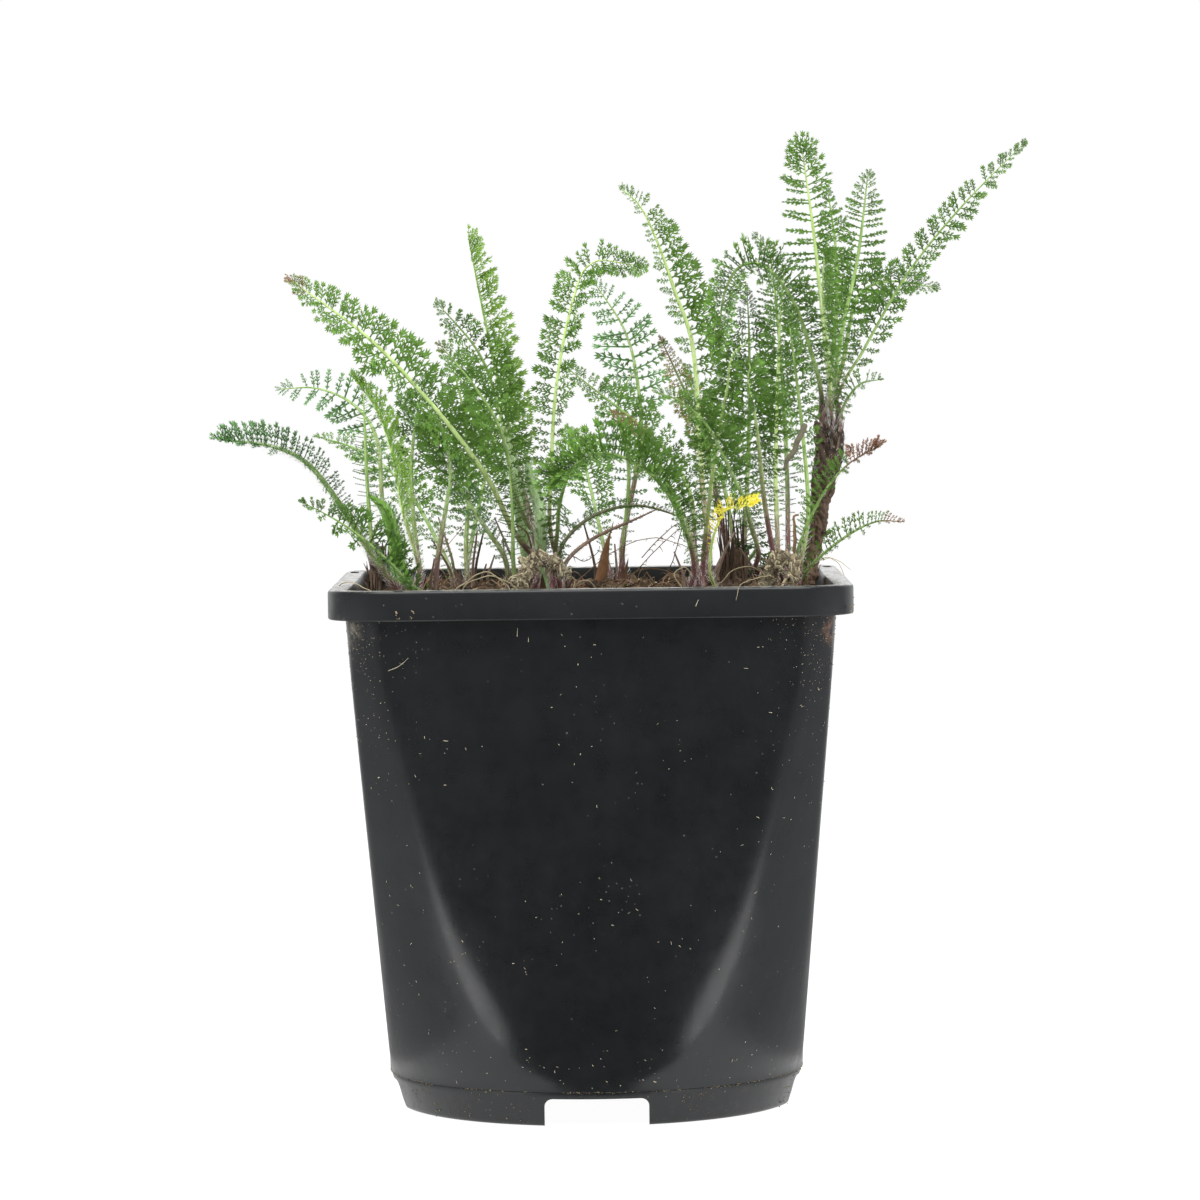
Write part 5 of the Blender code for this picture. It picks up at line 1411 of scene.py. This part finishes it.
def build_sheaths(slots, materials):
    """Old papery leaf bases and a few dead petiole stubs round each crown."""
    rng = random.Random(31)
    heap = Heap()
    for name, (x, y) in slots.items():
        if name[0] == "f":
            continue
        centre = np.array((*CROWNS[name[0]], 0))
        base_z = soil_height(x, y) - 0.5
        for _ in range(3):
            angle = rng.uniform(0, 2 * math.pi)
            foot = np.array((x + 1.6 * math.cos(angle), y + 1.6 * math.sin(angle), base_z))
            out = unit(foot - (centre + (0, 0, base_z)))
            long, flare = rng.uniform(2.5, 9), rng.uniform(-0.1, 0.5)
            line = np.array([foot + (0, 0, long * t) + out * flare * long * t * t
                             for t in np.linspace(0, 1, 6)])
            half = np.array((1, 1.1, 1, 0.8, 0.5, 0.1)) * rng.uniform(0.4, 1.0)
            across = unit(np.cross(out, (0, 0, 1)) + np.array((0, 0, rng.uniform(-0.3, 0.3))))
            heap.add(*strip(line, half, across), index=rng.choice((0, 0, 1)), tone=rng.random())
    mound = smooth_path(((-57.5, -7, 135), (-57.5, -7, 143), (-58.5, -7.5, 149), (-58, -8, 154)), 30)
    swell = np.interp(np.linspace(0, 1, 30), (0, 0.3, 0.8, 1), (3.6, 3.4, 2.2, 1.2))
    lumps = tube(mound, swell, 24, bump=lambda i, angle, p: 1.2 * noise.noise(Vector(p) * 0.6))
    heap.add(*lumps, index=2, tone=0.4)
    for _ in range(MOUND_STUBS):
        angle, z = rng.uniform(0, 2 * math.pi), rng.uniform(138, 153)
        away = np.interp(z, (138, 154), (4.2, 2.2))
        foot = np.array((MOUND_AT[0] + away * math.cos(angle), MOUND_AT[1] + away * math.sin(angle), z))
        lean = np.array((math.cos(angle), math.sin(angle), 0))
        end = foot + lean * rng.uniform(0, 1.4) + (0, 0, rng.uniform(1, 4))
        line = smooth_path([foot - (0, 0, 3), foot, end], 6)
        half = np.linspace(0.3, 0.1, 6) * rng.uniform(0.5, 1.5)
        heap.add(*tube(line, half, 4), index=rng.choice((0, 1, 2)), tone=rng.random())
    for _ in range(DEAD_STUBS):
        crown = rng.choice(list(CROWNS))
        angle, away = rng.uniform(0, 6.3), rng.uniform(4, 10)
        x, y = CROWNS[crown][0] + away * math.cos(angle), CROWNS[crown][1] + away * math.sin(angle)
        if max(abs(x), abs(y)) > 60:
            continue
        z, long = soil_height(x, y) - 0.5, rng.uniform(5, 22)
        lean = np.array((math.cos(angle), math.sin(angle), 0)) * rng.uniform(0.1, 0.9)
        end = np.array((x, y, z + long)) + lean * long * 0.6
        line = smooth_path([(x, y, z), (x, y, z + long * 0.4), end], 9)
        heap.add(*tube(line, np.linspace(0.5, 0.22, 9), 6), index=1, tone=rng.random())
    finishes = [materials[name] for name in ("papery", "dead", "scale")]
    heap.build("old_leaf_bases", finishes, slot="leaf_dry", smooth=False)


# Stage, in metres

BLACK = (0, 0, 0)


def area_light(name, place_at, target, size, power, mirrored=True):
    light = bpy.data.lights.new(name, "AREA")
    light.shape = "RECTANGLE"
    light.size, light.size_y = size
    light.energy = power
    obj = bpy.data.objects.new(name, light)
    obj.location = place_at
    obj.rotation_euler = (Vector(target) - Vector(place_at)).to_track_quat("-Z", "Y").to_euler()
    obj.visible_glossy = mirrored
    bpy.context.scene.collection.objects.link(obj)


def flat_stage(name, outline, z, colour, glow, only_reflected=False):
    """A level sheet of the studio, in metres. A card shows in reflections alone."""
    mesh = bpy.data.meshes.new(name)
    mesh.from_pydata([p if len(p) == 3 else (*p, z) for p in outline], [], [tuple(range(len(outline)))])
    material, _, shader = new_material(f"{name}_paint", colour, 0.9)
    shader.inputs["Specular IOR Level"].default_value = 0.1
    shader.inputs["Emission Color"].default_value = (1, 1, 1, 1)
    shader.inputs["Emission Strength"].default_value = glow
    mesh.materials.append(material)
    sheet = bpy.data.objects.new(name, mesh)
    bpy.context.scene.collection.objects.link(sheet)
    if only_reflected:
        sheet.visible_camera = sheet.visible_diffuse = sheet.visible_shadow = False
        sheet.visible_transmission = False


def oblong(low, high):
    return (low, (high[0], low[1]), high, (low[0], high[1]))


def sector(side, start, stop, near, far):
    """A part of a ring on the floor, between two turns in degrees from the front towards one side."""
    def spot(turn, away):
        turn = math.radians(turn)
        return AXIS[0] + side * away * math.sin(turn), AXIS[1] - away * math.cos(turn)

    turns = np.linspace(start, stop, 9)
    ring = [spot(t, near) for t in turns] + [spot(t, far) for t in reversed(turns)]
    return ring if side > 0 else ring[::-1]


def build_stage():
    x, y = AXIS[0], AXIS[1]
    flat_stage("floor", oblong((-6, -6), (6, 6)), -0.0002, (0.1, 0.1, 0.1), 0.97)
    outline = ((x - 0.4, y - 5.5), (x + 0.4, y - 5.5), (x + 0.1, y - 0.075), (x - 0.1, y - 0.075))
    flat_stage("dark_card", outline, 0.0006, BLACK, 0, True)
    for side in (-1, 1):
        near, far = sorted((x + side * 0.045, x + side * 0.15))
        outline = oblong((near, y - 0.15), (far, y - 0.078))
        flat_stage(f"bright_card_{side + 1}", outline, 0.0008, BLACK, 3.0, True)
        near, far = sorted((x + side * 0.075, x + side * 0.9))
        flat_stage(f"grey_card_{side + 1}", oblong((near, y - 0.6), (far, y + 0.4)), 0.0004, BLACK, 0.5, True)
        flat_stage(f"front_shade_{side + 1}", sector(side, 0, 50, 1.3, 5.5), 0.0002, BLACK, 0.12, True)
        flat_stage(f"back_shade_{side + 1}", sector(side, 104, 142, 1.3, 5.5), 0.0002, BLACK, 0.12, True)
    low, high = (x - 2.5, y + 1.6), (x + 2.5, y + 1.6)
    flat_stage("back_card", ((*low, 0), (*high, 0), (*high, 1.6), (*low, 1.6)), 0, BLACK, 0.9, True)
    world = bpy.data.worlds.new("studio")
    bpy.context.scene.world = world
    world.use_nodes = True
    tree = world.node_tree
    tree.nodes.clear()
    out = tree.nodes.new("ShaderNodeOutputWorld")
    soft = node(tree, "ShaderNodeBackground", Color=(1, 1, 1, 1), Strength=0.3)
    mirrored = node(tree, "ShaderNodeBackground", Color=(1, 1, 1, 1), Strength=0.35)
    seen = node(tree, "ShaderNodeBackground", Color=(1, 1, 1, 1), Strength=1.0)
    path = tree.nodes.new("ShaderNodeLightPath")
    first, both = (tree.nodes.new("ShaderNodeMixShader") for _ in range(2))
    link(tree, path.outputs["Is Glossy Ray"], first.inputs[0])
    link(tree, soft.outputs[0], first.inputs[1])
    link(tree, mirrored.outputs[0], first.inputs[2])
    link(tree, path.outputs["Is Camera Ray"], both.inputs[0])
    link(tree, first.outputs[0], both.inputs[1])
    link(tree, seen.outputs[0], both.inputs[2])
    link(tree, both.outputs[0], out.inputs["Surface"])
    middle = (x, y, 0.14)
    area_light("left_window", (x - 0.95, y - 0.35, 0.45), middle, (0.5, 1.1), 14, False)
    area_light("right_window", (x + 0.95, y - 0.35, 0.45), middle, (0.5, 1.1), 14, False)
    area_light("top_light", (x, y - 0.25, 1.3), middle, (1.2, 1.0), 14)
    area_light("front_fill", (x, y - 1.5, 1.15), middle, (1.4, 0.6), 10, False)
    area_light("back_light", (x, y + 1.1, 0.7), middle, (1.2, 0.7), 7)


# Camera, in metres, millimetres of lens and degrees
CAMERA_DISTANCE = 1.56
CAMERA_HEIGHT = 0.2149
CAMERA_RIGHT = 0.00248
CAMERA_LENS = 170.1
CAMERA_DOWN = 2.817
CAMERA_ROLL = 0.699


def build_camera():
    data = bpy.data.cameras.new("camera")
    data.lens, data.sensor_width = CAMERA_LENS, 36
    data.clip_start, data.clip_end = 0.05, 50
    camera = bpy.data.objects.new("camera", data)
    camera.location = (AXIS[0] + CAMERA_RIGHT, AXIS[1] - CAMERA_DISTANCE, CAMERA_HEIGHT)
    camera.rotation_euler = (math.radians(90 - CAMERA_DOWN), 0, 0)
    camera.rotation_euler.rotate_axis("Z", math.radians(-CAMERA_ROLL))
    bpy.context.scene.collection.objects.link(camera)
    bpy.context.scene.camera = camera


def make_materials():
    return {
        "green": leaf_material("leaf_green", (0.034, 0.091, 0.013), (0.122, 0.252, 0.039)),
        "bright": leaf_material("leaf_bright", (0.078, 0.19, 0.020), (0.24, 0.42, 0.066)),
        "blue": leaf_material("leaf_bluish", (0.041, 0.112, 0.029), (0.13, 0.27, 0.092)),
        "dark": leaf_material("leaf_dark", (0.021, 0.065, 0.009), (0.085, 0.185, 0.031)),
        "pale": leaf_material("leaf_young", (0.13, 0.24, 0.075), (0.33, 0.47, 0.22)),
        "olive": leaf_material("leaf_olive", (0.10, 0.10, 0.015), (0.36, 0.33, 0.07), (0.16, 0.08, 0.04)),
        "yellow": leaf_material("leaf_yellowed", (0.50, 0.40, 0.02), (0.95, 0.86, 0.08), (0.3, 0.45, 0.1)),
        "dry": leaf_material("leaf_dried", (0.09, 0.045, 0.02), (0.24, 0.13, 0.06), (0.13, 0.06, 0.03)),
        "rib": rib_material("rib_green", (0.15, 0.27, 0.06), (0.31, 0.44, 0.15), (0.13, 0.06, 0.06)),
        "rib_pale": rib_material("rib_pale_green", (0.33, 0.47, 0.13), (0.52, 0.66, 0.28),
                                 (0.14, 0.065, 0.065)),
        "rib_dark": rib_material("rib_dark", (0.05, 0.06, 0.02), (0.12, 0.11, 0.05), (0.06, 0.03, 0.03)),
        "rib_dead": rib_material("rib_dead", (0.09, 0.055, 0.035), (0.2, 0.13, 0.09), (0.09, 0.045, 0.04)),
        "hair": plain_material("silky_hair", (0.55, 0.55, 0.5), (0.85, 0.85, 0.82), 0.5, 900, 0.1),
        "bark": plain_material("bark", (0.012, 0.008, 0.006), (0.12, 0.078, 0.05), 0.85, 420, 0.8, 0.0006),
        "papery": plain_material("old_leaf_scale", (0.035, 0.02, 0.014), (0.15, 0.09, 0.055), 0.75, 500, 0.5),
        "blade": plain_material("dead_blade", (0.03, 0.017, 0.01), (0.2, 0.095, 0.04), 0.75, 300, 0.5),
        "scale": plain_material("bark_scale", (0.018, 0.011, 0.008), (0.12, 0.085, 0.06), 0.8, 700, 0.6),
        "stalk": plain_material("broken_stalk", (0.035, 0.032, 0.02), (0.12, 0.11, 0.07), 0.75, 700, 0.6),
        "dead": plain_material("dead_stalk", (0.05, 0.032, 0.025), (0.17, 0.12, 0.09), 0.75, 600, 0.5),
        "crown": plain_material("crown_red", (0.14, 0.03, 0.05), (0.34, 0.15, 0.17), 0.55, 300, 0.3),
        "fur": plain_material("woolly_curl", (0.09, 0.065, 0.04), (0.46, 0.4, 0.27), 0.9, 700, 0.8, 0.0006),
        "soil": plain_material("peat", (0.011, 0.007, 0.0045), (0.08, 0.052, 0.031), 0.95, 700, 1.0, 0.001),
        "crumbs": plain_material("peat_crumbs", (0.018, 0.011, 0.007), (0.12, 0.08, 0.047), 0.95, 900, 0.8),
        "rootlets": plain_material("rootlets", (0.04, 0.022, 0.012), (0.22, 0.14, 0.08), 0.85, 700, 0.4),
        "straw": plain_material("straw", (0.15, 0.12, 0.07), (0.42, 0.36, 0.22), 0.7, 500, 0.4),
        "moss": plain_material("moss", (0.09, 0.12, 0.02), (0.34, 0.36, 0.07), 0.85, 700, 0.3),
        "dust": plain_material("peat_dust", (0.12, 0.1, 0.07), (0.45, 0.4, 0.3), 0.9, 900, 0.2),
        "crust": plain_material("dried_mud", (0.05, 0.038, 0.022), (0.26, 0.21, 0.13), 0.95, 900, 0.4),
    }


def main():
    bpy.context.scene.view_settings.view_transform = "Standard"
    materials = make_materials()
    build_camera()
    build_stage()
    build_pot(pot_material())
    build_flecks(materials["dust"], materials["crust"])
    build_soil(materials["soil"])
    build_litter([materials[name] for name in ("crumbs", "rootlets", "straw", "moss")])
    build_straws([materials[name] for name in ("straw", "rootlets", "stalk")])
    slots = crown_slots()
    lines = spread_apart(first_lines(slots), obstacles())
    for name in FRONDS:
        build_frond(name, gathered(name, lines[name]), materials)
    build_stems(materials)
    build_sheaths(slots, materials)


main()
